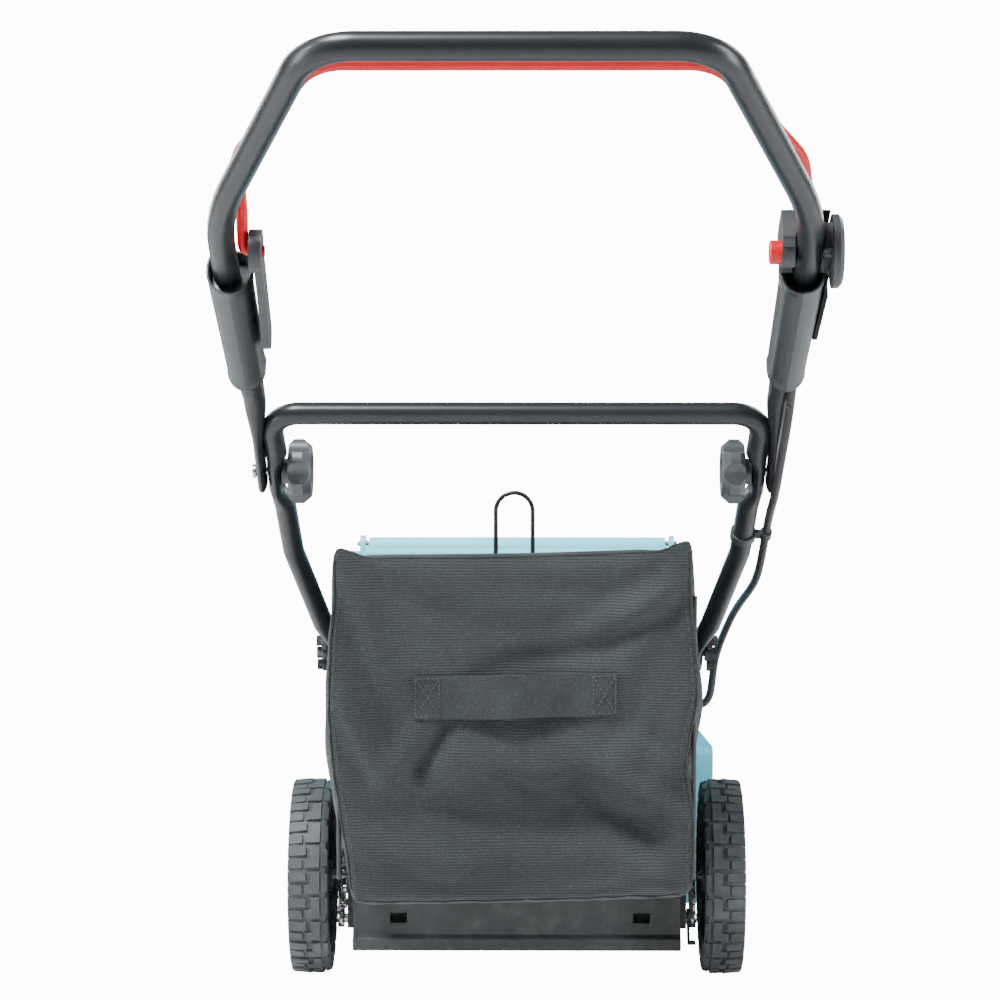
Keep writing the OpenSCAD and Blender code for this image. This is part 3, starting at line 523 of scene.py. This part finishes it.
u_pts, (u_r, u_a, u_b) = both_sides(
    [(256.8, lg, -17, 0), (256.8, lg, 44, 0), (255.6, lg, 118, 0), (257.9, lg, 146, 0), (268, wk, -480, 780), (268, lp, 60.7, 0), (169.5, lp, 327.7, 0)],
    ([0, .05, .05, .05, .11, .39, .055], [5.2, 5.2, 11, 12.5, 12.5, 12.5, 12.5], [15, 15, 11.5, 12.5, 12.5, 12.5, 12.5]))
tube_up = shaped_tube("handle_hoop", u_pts, u_r, u_a, u_b, MAT["handle_paint"])
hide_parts("upper_tube")
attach(tube_up, "upper_handle")

LB, LC, LA = Vector((233, -160, 488)), Vector((243, -330, 643)), Vector((199, -20, 360))
ldir = (LB - LA).normalized()


def along(v0, d, k):
    q = v0 + d * k
    return (q.x, wk, q.y, q.z)


l_pts, (l_r, l_a, l_b) = both_sides(
    [(197, lg, -346.3, 0), (197, lg, -308.3, 0), along(LA, ldir, 56), (233, wk, -160, 488), along(LB, ccz, 82), (243.4, lg, -26, 0),
     (243.4, lg, 16, 0), along(LB, ccz, 168), (243, wk, -330, 643)],
    ([0, .03, .03, .04, .03, .03, .03, 0, .061], [6.8, 6.8, 11, 11, 11, 7.4, 7.4, 11, 11], [13.5, 13.5, 11, 11, 11, 13.5, 13.5, 11, 11]))
tube_low = shaped_tube("lower_handle_hoop", l_pts, l_r, l_a, l_b, MAT["handle_paint"])
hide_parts("lower_tube")
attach(tube_low, "lower_handle")

b_pts = [lp(293.4, 0, 24), lp(267.5, 0, 24), lp(267.5, 24, 26.8), lp(255, 102, 36), lp(172, 228, 51), lp(-172, 228, 51), lp(-248, 106, 36),
         lp(-249.3, 30, 27), lp(-249.3, 0, 0), lp(-229.5, 0, 0)]
bail_r = [5, 5, 6.0, 6.6, 6.4, 6.4, 6.2, 5.6, 5, 5]
bail = shaped_tube("bail_bar", b_pts, [0, .009, .03, .07, .045, .045, .06, .02, .007, 0], bail_r, bail_r, MAT["bail_red"], 28, 0.006,
                   Vector((0.05, 0.52, 0.85)))
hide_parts("bail_rod")
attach(bail, "bail")


# ------------------------------------------------------------------ tyres with moulded lugs
def tyre(name, cx, cy, cz, R, inner, width, lugs, body, node, outer_sign):
    """A ring with two staggered rows of L-shaped lugs. outer_sign: which way along X the outside of the mower lies."""
    base = R - 3.6
    h = width / 2
    prof = [(-h + 1.2, inner), (-h, inner + 2.0), (-h, base - 9), (-h + 0.6, base - 5), (-h + 2.4, base - 1.2), (-h + 5, base),
            (h - 5, base), (h - 2.4, base - 1.2), (h - 0.6, base - 5), (h, base - 9), (h, inner + 2.0), (h - 1.2, inner)]
    steps = 144
    verts, faces = [], []
    for i in range(steps):
        a = 2 * math.pi * i / steps
        for x, r in prof:
            verts.append(W(cx + x, cy + r * math.cos(a), cz + r * math.sin(a)))
    k = len(prof)
    for i in range(steps):
        j = (i + 1) % steps
        for q in range(k):
            q2 = (q + 1) % k
            faces.append((i * k + q, i * k + q2, j * k + q2, j * k + q))
    parts = [(verts, faces)]
    pitch = 2 * math.pi * R / lugs
    u = pitch / 28.0

    def lug(poly, height, bottom=0.6, inset=0.7):
        """poly: (distance from the outer edge, distance round the tread) corners, anticlockwise."""
        n = len(poly)
        mx, ms = sum(p[0] for p in poly) / n, sum(p[1] for p in poly) / n
        v = []
        for level, grow in ((base - bottom, 0.5), (base + height - inset, 0.0), (base + height, -inset)):
            for x, s in poly:
                dx, ds = x - mx, s - ms
                d = math.hypot(dx, ds) or 1
                x2, s2 = x + dx / d * grow, s + ds / d * grow
                a = s2 / R
                # the shoulders fall away a little towards the edges
                edge = max(0.0, 4.0 - x2) * 0.55 + max(0.0, x2 - (width - 4.0)) * 0.55
                r = level - edge if level > base else level - edge * 1.2 - 1.0
                X = cx + outer_sign * (h - x2)
                v.append(W(X, cy + r * math.cos(a), cz + r * math.sin(a)))
        f = []
        for lev in range(2):
            for i in range(n):
                i2 = (i + 1) % n
                f.append((lev * n + i, lev * n + i2, (lev + 1) * n + i2, (lev + 1) * n + i))
        f.append(tuple(2 * n + i for i in range(n)))
        parts.append((v, f))

    w = width / 43.0
    for i in range(lugs):
        s0 = pitch * i

        def q(*pts):
            return [(x * w, s0 + s * u) for x, s in pts]

        lug(q((0.2, 1.5), (20, 2.6), (20.5, 11), (0.2, 12.5)), 3.6)
        lug(q((0.2, 15.5), (15.5, 16), (16.2, 19.5), (16.2, 25.5), (0.2, 26.5)), 2.3)
        lug(q((23, 3.0), (34.5, 2.0), (34.5, 14)), 0.01)
        # the L: a long bar round the tread with a foot across it
        lug(q((25.5, 1.5), (34.8, 1.0), (34.8, 24.6), (25.5, 25.2)), 3.3)
        lug(q((18.5, 15.5), (26.5, 14.8), (26.5, 24.8), (19.0, 25.4)), 3.1)
        lug(q((37.2, 3.0), (42.8, 3.5), (42.8, 22.5), (37.2, 23.5)), 1.7)
    v, f = join(parts)
    ob = mesh_object(name, v, f, MAT["wheel_rubber"], smooth=False)
    bm = bmesh.new()
    bm.from_mesh(ob.data)
    bmesh.ops.recalc_face_normals(bm, faces=bm.faces)
    bm.to_mesh(ob.data)
    bm.free()
    for p in ob.data.polygons:
        p.use_smooth = True
    ob.data.set_sharp_from_angle(angle=math.radians(28))
    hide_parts(node)
    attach(ob, body)
    return ob


for side, sg in (("left", -1), ("right", 1)):
    tyre("rear_tread_" + side, sg * 225.5, 0, 107.5, 107.5, 84.02, 43, 24, "rear_wheel_" + side, "rear_tyre_" + side, sg)
    tyre("front_tread_" + side, sg * 206, 382, 75, 75, 58.02, 31, 20, "front_wheel_" + side, "front_tyre_" + side, sg)


# ------------------------------------------------------------------ catcher bag: a lofted shell that sags as cloth
LEFT = [(146, -167), (160, -169), (174, -171), (200, -174), (224, -178.5), (255, -184), (284, -188.5), (310, -191), (344, -193),
        (385, -192), (424, -190.5), (450, -186), (464, -184.5), (480, -187), (492, -186), (505, -178)]
RIGHT = [(146, 176), (160, 178.5), (174, 180), (200, 181.5), (224, 182.5), (255, 178.5), (290, 174.5), (310, 174.5), (330, 180),
         (354, 186.5), (385, 185), (414, 182.5), (444, 179.5), (464, 177), (480, 177.5), (495, 177.5), (512, 172)]


def lookup(table, z):
    for (z0, v0), (z1, v1) in zip(table, table[1:]):
        if z <= z1:
            t = max(0.0, (z - z0) / (z1 - z0))
            t = t * t * (3 - 2 * t)
            return v0 + (v1 - v0) * t
    return table[-1][1]


NA, NB, NC = (46, 30, 44)


def bag_point(a, b, c):
    y = -299 + b * 255
    zt_rear = 508.5 + 8.5 * a - 2.5 * math.sin(math.pi * a)
    zt = zt_rear + (461 - zt_rear) * b
    zb = 140.5 + 9.5 * a + (150.5 - 140.5 - 9.5 * a) * b - 1.5 * math.sin(math.pi * a) * (1 - b)
    z = zb + c * (zt - zb)
    xl = (lookup(LEFT, z) - 1.5) * (1 - b) + b * -181.5
    xr = (lookup(RIGHT, z) + 2.0) * (1 - b) + b * 181.5
    return xl + a * (xr - xl), y, z


index, pts, faces = {}, [], []


def vid(i, j, k):
    key = (i, j, k)
    if key not in index:
        index[key] = len(pts)
        pts.append(bag_point(i / NA, j / NB, k / NC))
    return index[key]


for i in range(NA):
    for k in range(NC):
        faces.append((vid(i, 0, k), vid(i + 1, 0, k), vid(i + 1, 0, k + 1), vid(i, 0, k + 1)))
    for j in range(NB):
        faces.append((vid(i, j, NC), vid(i + 1, j, NC), vid(i + 1, j + 1, NC), vid(i, j + 1, NC)))
        faces.append((vid(i, j, 0), vid(i, j + 1, 0), vid(i + 1, j + 1, 0), vid(i + 1, j, 0)))
for j in range(NB):
    for k in range(NC):
        faces.append((vid(0, j, k), vid(0, j, k + 1), vid(0, j + 1, k + 1), vid(0, j + 1, k)))
        faces.append((vid(NA, j, k), vid(NA, j + 1, k), vid(NA, j + 1, k + 1), vid(NA, j, k + 1)))
P = np.array(pts, float)
keys = np.array([k for k, _ in sorted(index.items(), key=lambda kv: kv[1])])
front = keys[:, 1] == NB
near = [set() for _ in pts]
for f in faces:
    for a, b in zip(f, f[1:] + f[:1]):
        near[a].add(b)
        near[b].add(a)
width_max = max(len(s) for s in near)
idx = np.zeros((len(pts), width_max), int)
wgt = np.zeros((len(pts), width_max))
for i, s in enumerate(near):
    for q, j in enumerate(s):
        idx[i, q] = j
        wgt[i, q] = 1.0 / len(s)


def relax(P, times, share=0.5):
    for _ in range(times):
        mean = (P[idx] * wgt[:, :, None]).sum(1)
        Q = P + (mean - P) * share
        Q[front] = P[front]
        P = Q
    return P


base = relax(P, 9)
# ears: the gathered cloth at the two top rear corners
for ex, ez, sx in ((-180, 505, -1), (174, 513, 1)):
    d = np.sqrt(((base[:, 0] - ex) / 13) ** 2 + ((base[:, 1] + 297) / 20) ** 2 + ((base[:, 2] - ez) / 15) ** 2)
    g = np.exp(-d ** 2)
    base[:, 2] += 9.0 * g
    base[:, 0] += sx * 6.0 * g
    base[:, 1] -= 3.0 * g
    d2 = np.sqrt(((base[:, 0] - (ex - sx * 27)) / 11) ** 2 + ((base[:, 1] + 297) / 26) ** 2 + ((base[:, 2] - ez) / 13) ** 2)
    base[:, 2] -= 4.5 * np.exp(-d2 ** 2)


def ridge(P, p0, p1, width, height, share=1.0):
    """A soft fold on the rear panel between two (x, z) points."""
    a, b = np.array(p0, float), np.array(p1, float)
    d = b - a
    t = np.clip(((P[:, [0, 2]] - a) @ d) / (d @ d), 0, 1)
    off = P[:, [0, 2]] - (a + t[:, None] * d)
    dist = np.hypot(off[:, 0], off[:, 1])
    fade = np.sin(np.pi * np.clip(t * 0.9 + 0.05, 0, 1)) ** 0.6
    rear = np.clip((-P[:, 1] - 255) / 35, 0, 1)
    P[:, 1] -= height * np.exp(-(dist / width) ** 2) * fade * rear * share


shaped = base.copy()

me = bpy.data.meshes.new("bag_cloth")
me.from_pydata([tuple(W(*p)) for p in base], [], faces)
me.update()
tmp = bpy.data.objects.new("bag_cloth", me)
scene.collection.objects.link(tmp)
pin = tmp.vertex_groups.new(name="pin")
for i in range(len(base)):
    a, b, c = keys[i, 0] / NA, keys[i, 1] / NB, keys[i, 2] / NC
    w_ = 1.0 if front[i] else 0.0
    if b < 0.04 and (a in (0.0, 1.0)):
        w_ = 0.55
    if b < 0.04 and c > 0.93 and (a < 0.06 or a > 0.94):
        w_ = 0.97
    if b < 0.12 and c < 0.03:
        w_ = 0.35
    if w_:
        pin.add([i], w_, "REPLACE")
cl = tmp.modifiers.new("cloth", "CLOTH")
st = cl.settings
st.quality = 6
st.mass = 0.22
st.tension_stiffness = 14
st.compression_stiffness = 9
st.shear_stiffness = 4
st.bending_stiffness = 0.35
st.air_damping = 2.0
st.vertex_group_mass = "pin"
st.shrink_min = -0.032
st.use_pressure = True
st.uniform_pressure_force = 0.6
st.effector_weights.gravity = 0.7
cl.collision_settings.use_collision = False
scene.frame_start, scene.frame_end = 1, 22
for fr in range(1, 23):
    scene.frame_set(fr)
ev = tmp.evaluated_get(bpy.context.evaluated_depsgraph_get())
co = np.zeros(len(ev.data.vertices) * 3)
ev.data.vertices.foreach_get("co", co)
sim = co.reshape(-1, 3) * 1000
sim[:, 0] -= OX * 1000
sim[:, 1] -= OY * 1000
move = sim - base
far = np.linalg.norm(move, axis=1)
cap = 7.5
move *= np.minimum(1.0, cap / np.maximum(far, 1e-9))[:, None] * 0.9
shaped = base + move
shaped = relax(shaped, 1, 0.4)
bpy.data.objects.remove(tmp)
scene.frame_set(1)
print("cloth moved, mm: mean", round(float(far.mean()), 2), "max", round(float(far.max()), 2))

def swell(P, x, z, rx, rz, height):
    rear = np.clip((-P[:, 1] - 262) / 30, 0, 1)
    P[:, 1] -= height * np.exp(-((P[:, 0] - x) / rx) ** 2 - ((P[:, 2] - z) / rz) ** 2) * rear


# where the hanging cloth bellies out and where it is drawn in
swell(shaped, 5, 292, 105, 28, 14.0)
swell(shaped, 40, 226, 110, 20, -14.0)
swell(shaped, -95, 190, 75, 20, 10.0)
swell(shaped, -40, 440, 90, 45, 2.5)
FOLDS = [((-60, 336), (-106, 268), 9, -5.0), ((-88, 336), (-140, 258), 12, 4.6), ((72, 298), (165, 226), 12, 6.0),
         ((52, 268), (146, 200), 12, -4.6), ((162, 446), (88, 404), 11, -4.6), ((95, 406), (-30, 386), 10, -4.2),
         ((168, 470), (70, 424), 13, 4.2), ((-172, 482), (-112, 428), 12, 4.0), ((-150, 470), (-96, 400), 10, -3.2),
         ((-168, 218), (-30, 168), 14, 4.6), ((-30, 285), (60, 240), 10, -3.6), ((96, 192), (168, 160), 12, 4.4),
         ((-178, 360), (-140, 286), 10, 3.6), ((176, 372), (140, 300), 10, 3.6), ((-20, 470), (90, 462), 12, -2.6),
         ((-120, 245), (-40, 232), 10, -3.4), ((120, 340), (150, 300), 9, -3.2)]
for p0, p1, w_, h_ in FOLDS:
    ridge(shaped, p0, p1, w_ * 0.9, h_ * 2.5)
shaped = relax(shaped, 1, 0.3)
shaped[:, 1] = np.maximum(shaped[:, 1], -313)

bag = mesh_object("bag_shell", [W(*p) for p in shaped], faces, MAT["bag_mesh"])
bm = bmesh.new()
bm.from_mesh(bag.data)
bmesh.ops.recalc_face_normals(bm, faces=bm.faces)
bm.to_mesh(bag.data)
bm.free()
sub = bag.modifiers.new("smooth", "SUBSURF")
sub.levels = sub.render_levels = 1
sol = bag.modifiers.new("cloth", "SOLIDIFY")
sol.thickness = 0.0014
sol.offset = -1
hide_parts("bag_fabric")
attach(bag, "bag")
bag_tree = BVHTree.FromPolygons([W(*p) for p in shaped], faces)


def on_bag(x, z, lift=0.0):
    hit = bag_tree.ray_cast(W(x, -420, z), Vector((0, 1, 0)))
    y = hit[0].y if hit[0] is not None else W(0, -300, 0).y
    return Vector((x / 1000 + OX, y - lift / 1000, z / 1000))


# seams: piping down both rear corners, along the top rear edge, and a bound hem round the mouth
def edge_path(fn):
    return [W(*shaped[index[k]]) for k in fn]


corner_l = edge_path([(0, 0, k) for k in range(2, NC - 1)])
corner_r = edge_path([(NA, 0, k) for k in range(2, NC - 1)])
top_rear = edge_path([(i, 0, NC) for i in range(2, NA - 1)])
low_rear = edge_path([(i, 0, 0) for i in range(2, NA - 1)])
seams = join([tube_data(p, 0.0013, 8) for p in (corner_l, corner_r, top_rear, low_rear)])
seam = mesh_object("bag_seams", seams[0], seams[1], MAT["bag_hem"])
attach(seam, "bag")
mouth = [(0, NB, k) for k in range(0, NC)] + [(i, NB, NC) for i in range(0, NA)] + \
        [(NA, NB, k) for k in range(NC, 0, -1)] + [(i, NB, 0) for i in range(NA, 0, -1)]
ring = edge_path(mouth)
ring.append(ring[0])
hv, hf = tube_data(ring, 0.0035, 10, 0.8)
hem = mesh_object("bag_mouth_hem", hv, hf, MAT["bag_hem"])
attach(hem, "bag")


# ------------------------------------------------------------------ lift strap: webbing, box-and-cross stitched at both ends
def strap_y(x):
    return 15.0 * (0.5 + 0.5 * math.cos(math.pi * min(1.0, abs(x) / 80.0))) if abs(x) < 80 else 0.0


rows_, cols = [336.5 + i * (43.0 / 12) for i in range(13)], [-102.5 + i * (204.0 / 96) for i in range(97)]
sv, sf = [], []
for layer in (0.2, 2.0):
    for z in rows_:
        for x in cols:
            curl = 1.1 * math.sin(math.pi * (z - 336.5) / 43.0) * (strap_y(x) / 15)
            wav = (1.5 * math.sin(x / 13.0 + z / 16.0) + 0.8 * math.sin(x / 6.3 - z / 12.0)) * (0.25 + 0.75 * strap_y(x) / 15)
            zz = z + 1.6 * math.sin(x / 44.0) + 1.4 * (strap_y(x) / 15)
            p = on_bag(x, zz, layer + 0.4 + strap_y(x) + curl + wav)
            if abs(x) < 80:
                q = on_bag(math.copysign(80, x), zz, 0)
                p.y = min(p.y, q.y + (-strap_y(x) - layer + 1.5) / 1000)
            sv.append(p)
nr, nc = len(rows_), len(cols)
for layer in range(2):
    o = layer * nr * nc
    for i in range(nr - 1):
        for j in range(nc - 1):
            q = (o + i * nc + j, o + i * nc + j + 1, o + (i + 1) * nc + j + 1, o + (i + 1) * nc + j)
            sf.append(q if layer else q[::-1])
o = nr * nc
for j in range(nc - 1):
    sf.append((j, j + 1, o + j + 1, o + j))
    b0 = (nr - 1) * nc
    sf.append((b0 + j + 1, b0 + j, o + b0 + j, o + b0 + j + 1))
for i in range(nr - 1):
    a = i * nc
    sf.append((a + nc, a, o + a, o + a + nc))
    a = i * nc + nc - 1
    sf.append((a, a + nc, o + a + nc, o + a))
strap = mesh_object("lift_strap", sv, sf, MAT["webbing"])
bm = bmesh.new()
bm.from_mesh(strap.data)
bmesh.ops.recalc_face_normals(bm, faces=bm.faces)
bm.to_mesh(strap.data)
bm.free()
strap.data.set_sharp_from_angle(angle=math.radians(50))
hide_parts("bag_strap")
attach(strap, "bag")


def stitches(lines, lift, length=2.6, gap=1.5, r=0.00042):
    """Thread laid in short dashes along lines of (x, z) points over the bag."""
    parts = []
    for line in lines:
        for (x0, z0), (x1, z1) in zip(line, line[1:]):
            n = max(1, int(math.hypot(x1 - x0, z1 - z0) / (length + gap)))
            for i in range(n):
                t0 = i / n
                t1 = t0 + length / (length + gap) / n
                pp = []
                for k in range(4):
                    t = t0 + (t1 - t0) * k / 3
                    x, z = x0 + (x1 - x0) * t, z0 + (z1 - z0) * t
                    pp.append(on_bag(x, z, lift(x, z) + 0.35 * math.sin(math.pi * k / 3)))
                parts.append(tube_data(pp, r, 6))
    return join(parts)


def strap_lift(x, z):
    return 2.75 + strap_y(x)


boxes = []
for x0, x1 in ((-100.5, -77), (77, 99.5)):
    z0, z1 = 339 , 377
    sh = 1.6 * math.sin((x0 + x1) / 2 / 44.0)
    z0, z1 = z0 + sh, z1 + sh
    boxes += [[(x0, z0), (x1, z0), (x1, z1), (x0, z1), (x0, z0)], [(x0, z0), (x1, z1)], [(x0, z1), (x1, z0)]]
tv, tf = stitches(boxes, strap_lift)
thread = mesh_object("strap_stitching", tv, tf, MAT["thread"])
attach(thread, "bag")
# stitched seam lines down both sides of the rear panel, 9 mm in from its left and right edges
line_l = [[(lookup(LEFT, z) + 9, z) for z in range(170, 480, 10)], [(lookup(RIGHT, z) - 9, z) for z in range(170, 484, 10)]]
tv, tf = stitches(line_l, lambda x, z: 0.25, 3.0, 2.2, 0.00035)
seamline = mesh_object("bag_seam_stitching", tv, tf, MAT["thread"])
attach(seamline, "bag")


# ------------------------------------------------------------------ moulded grips over the handle legs
def grip(sg, name, nodes):
    """Two-facet shell with a scooped mouth, a parting groove down the back, and a stepped lower end."""
    around, levels = 72, 44
    v, f = [], []
    for li in range(levels + 1):
        t = li / levels
        for k in range(around):
            th = 2 * math.pi * k / around
            cx, cn = math.sin(th), -math.cos(th)          # k = 0 faces the back
            top = 303 + 6 * (1 - math.cos(th)) / 2 + 5.0 * math.sin(th) ** 2 * (1.0 if cn < 0 else 0.6)
            bottom = 158.5 + 5.0 * abs(math.sin(th)) ** 1.5 + 3.0 * (1 - math.cos(th)) / 2
            a = bottom + (top - bottom) * t
            g_ = min(1.0, max(0.0, (a - 131) / 165))
            xin, xout = 240.6 + 4.4 * g_, 275.2 + 10.4 * g_
            mid, half = (xin + xout) / 2, (xout - xin) / 2
            e = 2.0 / 3.1
            px = math.copysign(abs(cx) ** e, cx)
            pn = math.copysign(abs(cn) ** e, cn)
            ridge_ = max(0.0, 1 - abs(px) / 0.95) * 5.2 if cn < 0 else 0.0
            x = mid + half * px
            n = 20.6 * pn - ridge_
            if k in (0,):
                n += 0.9
            flare = 1.2 * math.exp(-((t - 1) / 0.035) ** 2) + 0.9 * math.exp(-(t / 0.03) ** 2)
            x += flare * px
            n += flare * pn
            v.append(lg(sg * x, a, n))
    for li in range(levels):
        for k in range(around):
            k2 = (k + 1) % around
            q = (li * around + k, li * around + k2, (li + 1) * around + k2, (li + 1) * around + k)
            f.append(q if sg > 0 else q[::-1])
    base_i = len(v)
    for k in range(around):
        th = 2 * math.pi * k / around
        cx, cn = math.sin(th), -math.cos(th)
        e = 2.0 / 3.1
        v.append(lg(sg * (262.9 + 19.2 * math.copysign(abs(cx) ** e, cx)), 296.5, 19.0 * math.copysign(abs(cn) ** e, cn)))
    ring_ = tuple(range(base_i, base_i + around))
    f.append(ring_ if sg > 0 else ring_[::-1])
    ob = mesh_object(name, v, f, MAT["grip_grey"])
    # painted shade: the inner half of each grip, facing the other grip, and the ring inside its mouth take the darker
    # grip_inner copy
    ob.data.materials.append(MAT["grip_inner"])
    for i, poly in enumerate(ob.data.polygons):
        k = i % around
        poly.material_index = 1 if i >= levels * around or (k >= around // 2) else 0
    bm_ = bmesh.new()
    bm_.from_mesh(ob.data)
    bmesh.ops.recalc_face_normals(bm_, faces=bm_.faces)
    bm_.to_mesh(ob.data)
    bm_.free()
    so = ob.modifiers.new("wall", "SOLIDIFY")
    so.thickness = 0.0026
    so.offset = -1
    be = ob.modifiers.new("lip", "BEVEL")
    be.width = 0.0008
    be.segments = 2
    be.limit_method = "ANGLE"
    be.angle_limit = math.radians(50)
    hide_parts(*nodes)
    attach(ob, "upper_handle")
    return ob


grip(1, "grip_right", ("sleeve_right_outer", "sleeve_right_inner"))
grip(-1, "grip_left", ("sleeve_left_outer", "sleeve_left_inner"))

# ------------------------------------------------------------------ floor and light
def area(name, loc, target, sx, sy, power, color=(1, 1, 1)):
    d = bpy.data.lights.new(name, "AREA")
    d.shape = "RECTANGLE"
    d.size, d.size_y = sx, sy
    d.energy = power
    d.color = color
    o = bpy.data.objects.new(name, d)
    scene.collection.objects.link(o)
    o.location = loc
    o.rotation_euler = (Vector(target) - Vector(loc)).to_track_quat("-Z", "Y").to_euler()
    return o


area("soft_left", (-2.5, -1.0, 1.2), (0, 0, 0.62), 0.35, 2.6, 84)
area("soft_right", (2.5, -0.9, 1.2), (0, 0, 0.62), 0.35, 2.6, 88)
area("soft_top", (-0.9, -1.1, 3.0), (0, -0.2, 0.6), 1.0, 0.6, 165)
area("soft_rear_left", (-1.7, 2.0, 1.5), (0, 0, 0.6), 0.5, 2.2, 45)
area("soft_rear_right", (1.7, 2.0, 1.5), (0, 0, 0.6), 0.5, 2.2, 45)

world = bpy.data.worlds.new("studio")
scene.world = world
world.use_nodes = True
wt = world.node_tree
wt.nodes.clear()
wo = wt.nodes.new("ShaderNodeOutputWorld")
bg_l = wt.nodes.new("ShaderNodeBackground")
bg_c = wt.nodes.new("ShaderNodeBackground")
bg_l.inputs[0].default_value = (0.93, 0.97, 1.0, 1)
bg_l.inputs[1].default_value = 0.20
bg_c.inputs[0].default_value = (1, 1, 1, 1)
bg_c.inputs[1].default_value = 13.2
mixw = wt.nodes.new("ShaderNodeMixShader")
lp = wt.nodes.new("ShaderNodeLightPath")
wt.links.new(lp.outputs["Is Camera Ray"], mixw.inputs[0])
wt.links.new(bg_l.outputs[0], mixw.inputs[1])
wt.links.new(bg_c.outputs[0], mixw.inputs[2])
wt.links.new(mixw.outputs[0], wo.inputs[0])

fm = Build("floor_pale")
fm.p.inputs["Base Color"].default_value = (0.86, 0.86, 0.86, 1)
fn = fm.noise(3.0, 3.0, 0.5)
fm.link(fm.ramp(fn, [(0.3, 0.84), (0.7, 0.88)]), fm.p.inputs["Base Color"])
fm.link(fm.maprange(fn, 0.3, 0.7, 0.75, 0.85), fm.p.inputs["Roughness"])
em = fm.new("ShaderNodeEmission")
em.inputs[0].default_value = (1, 1, 1, 1)
em.inputs[1].default_value = 14.4
flp = fm.new("ShaderNodeLightPath")
fmix = fm.new("ShaderNodeMixShader")
half = fm.math("MULTIPLY", flp.outputs["Is Camera Ray"], 0.9)
fm.link(half, fmix.inputs[0])
fm.link(fm.p.outputs[0], fmix.inputs[1])
fm.link(em.outputs[0], fmix.inputs[2])
fm.link(fmix.outputs[0], fm.out.inputs[0])
g = 14.0
fv, ff, gn = [], [], 12
for i in range(gn + 1):
    for j in range(gn + 1):
        fv.append((-g + 2 * g * i / gn, -g + 2 * g * j / gn, -0.0004))
for i in range(gn):
    for j in range(gn):
        ff.append((i * (gn + 1) + j, (i + 1) * (gn + 1) + j, (i + 1) * (gn + 1) + j + 1, i * (gn + 1) + j + 1))
floor = mesh_object("floor", fv, ff, fm.m)
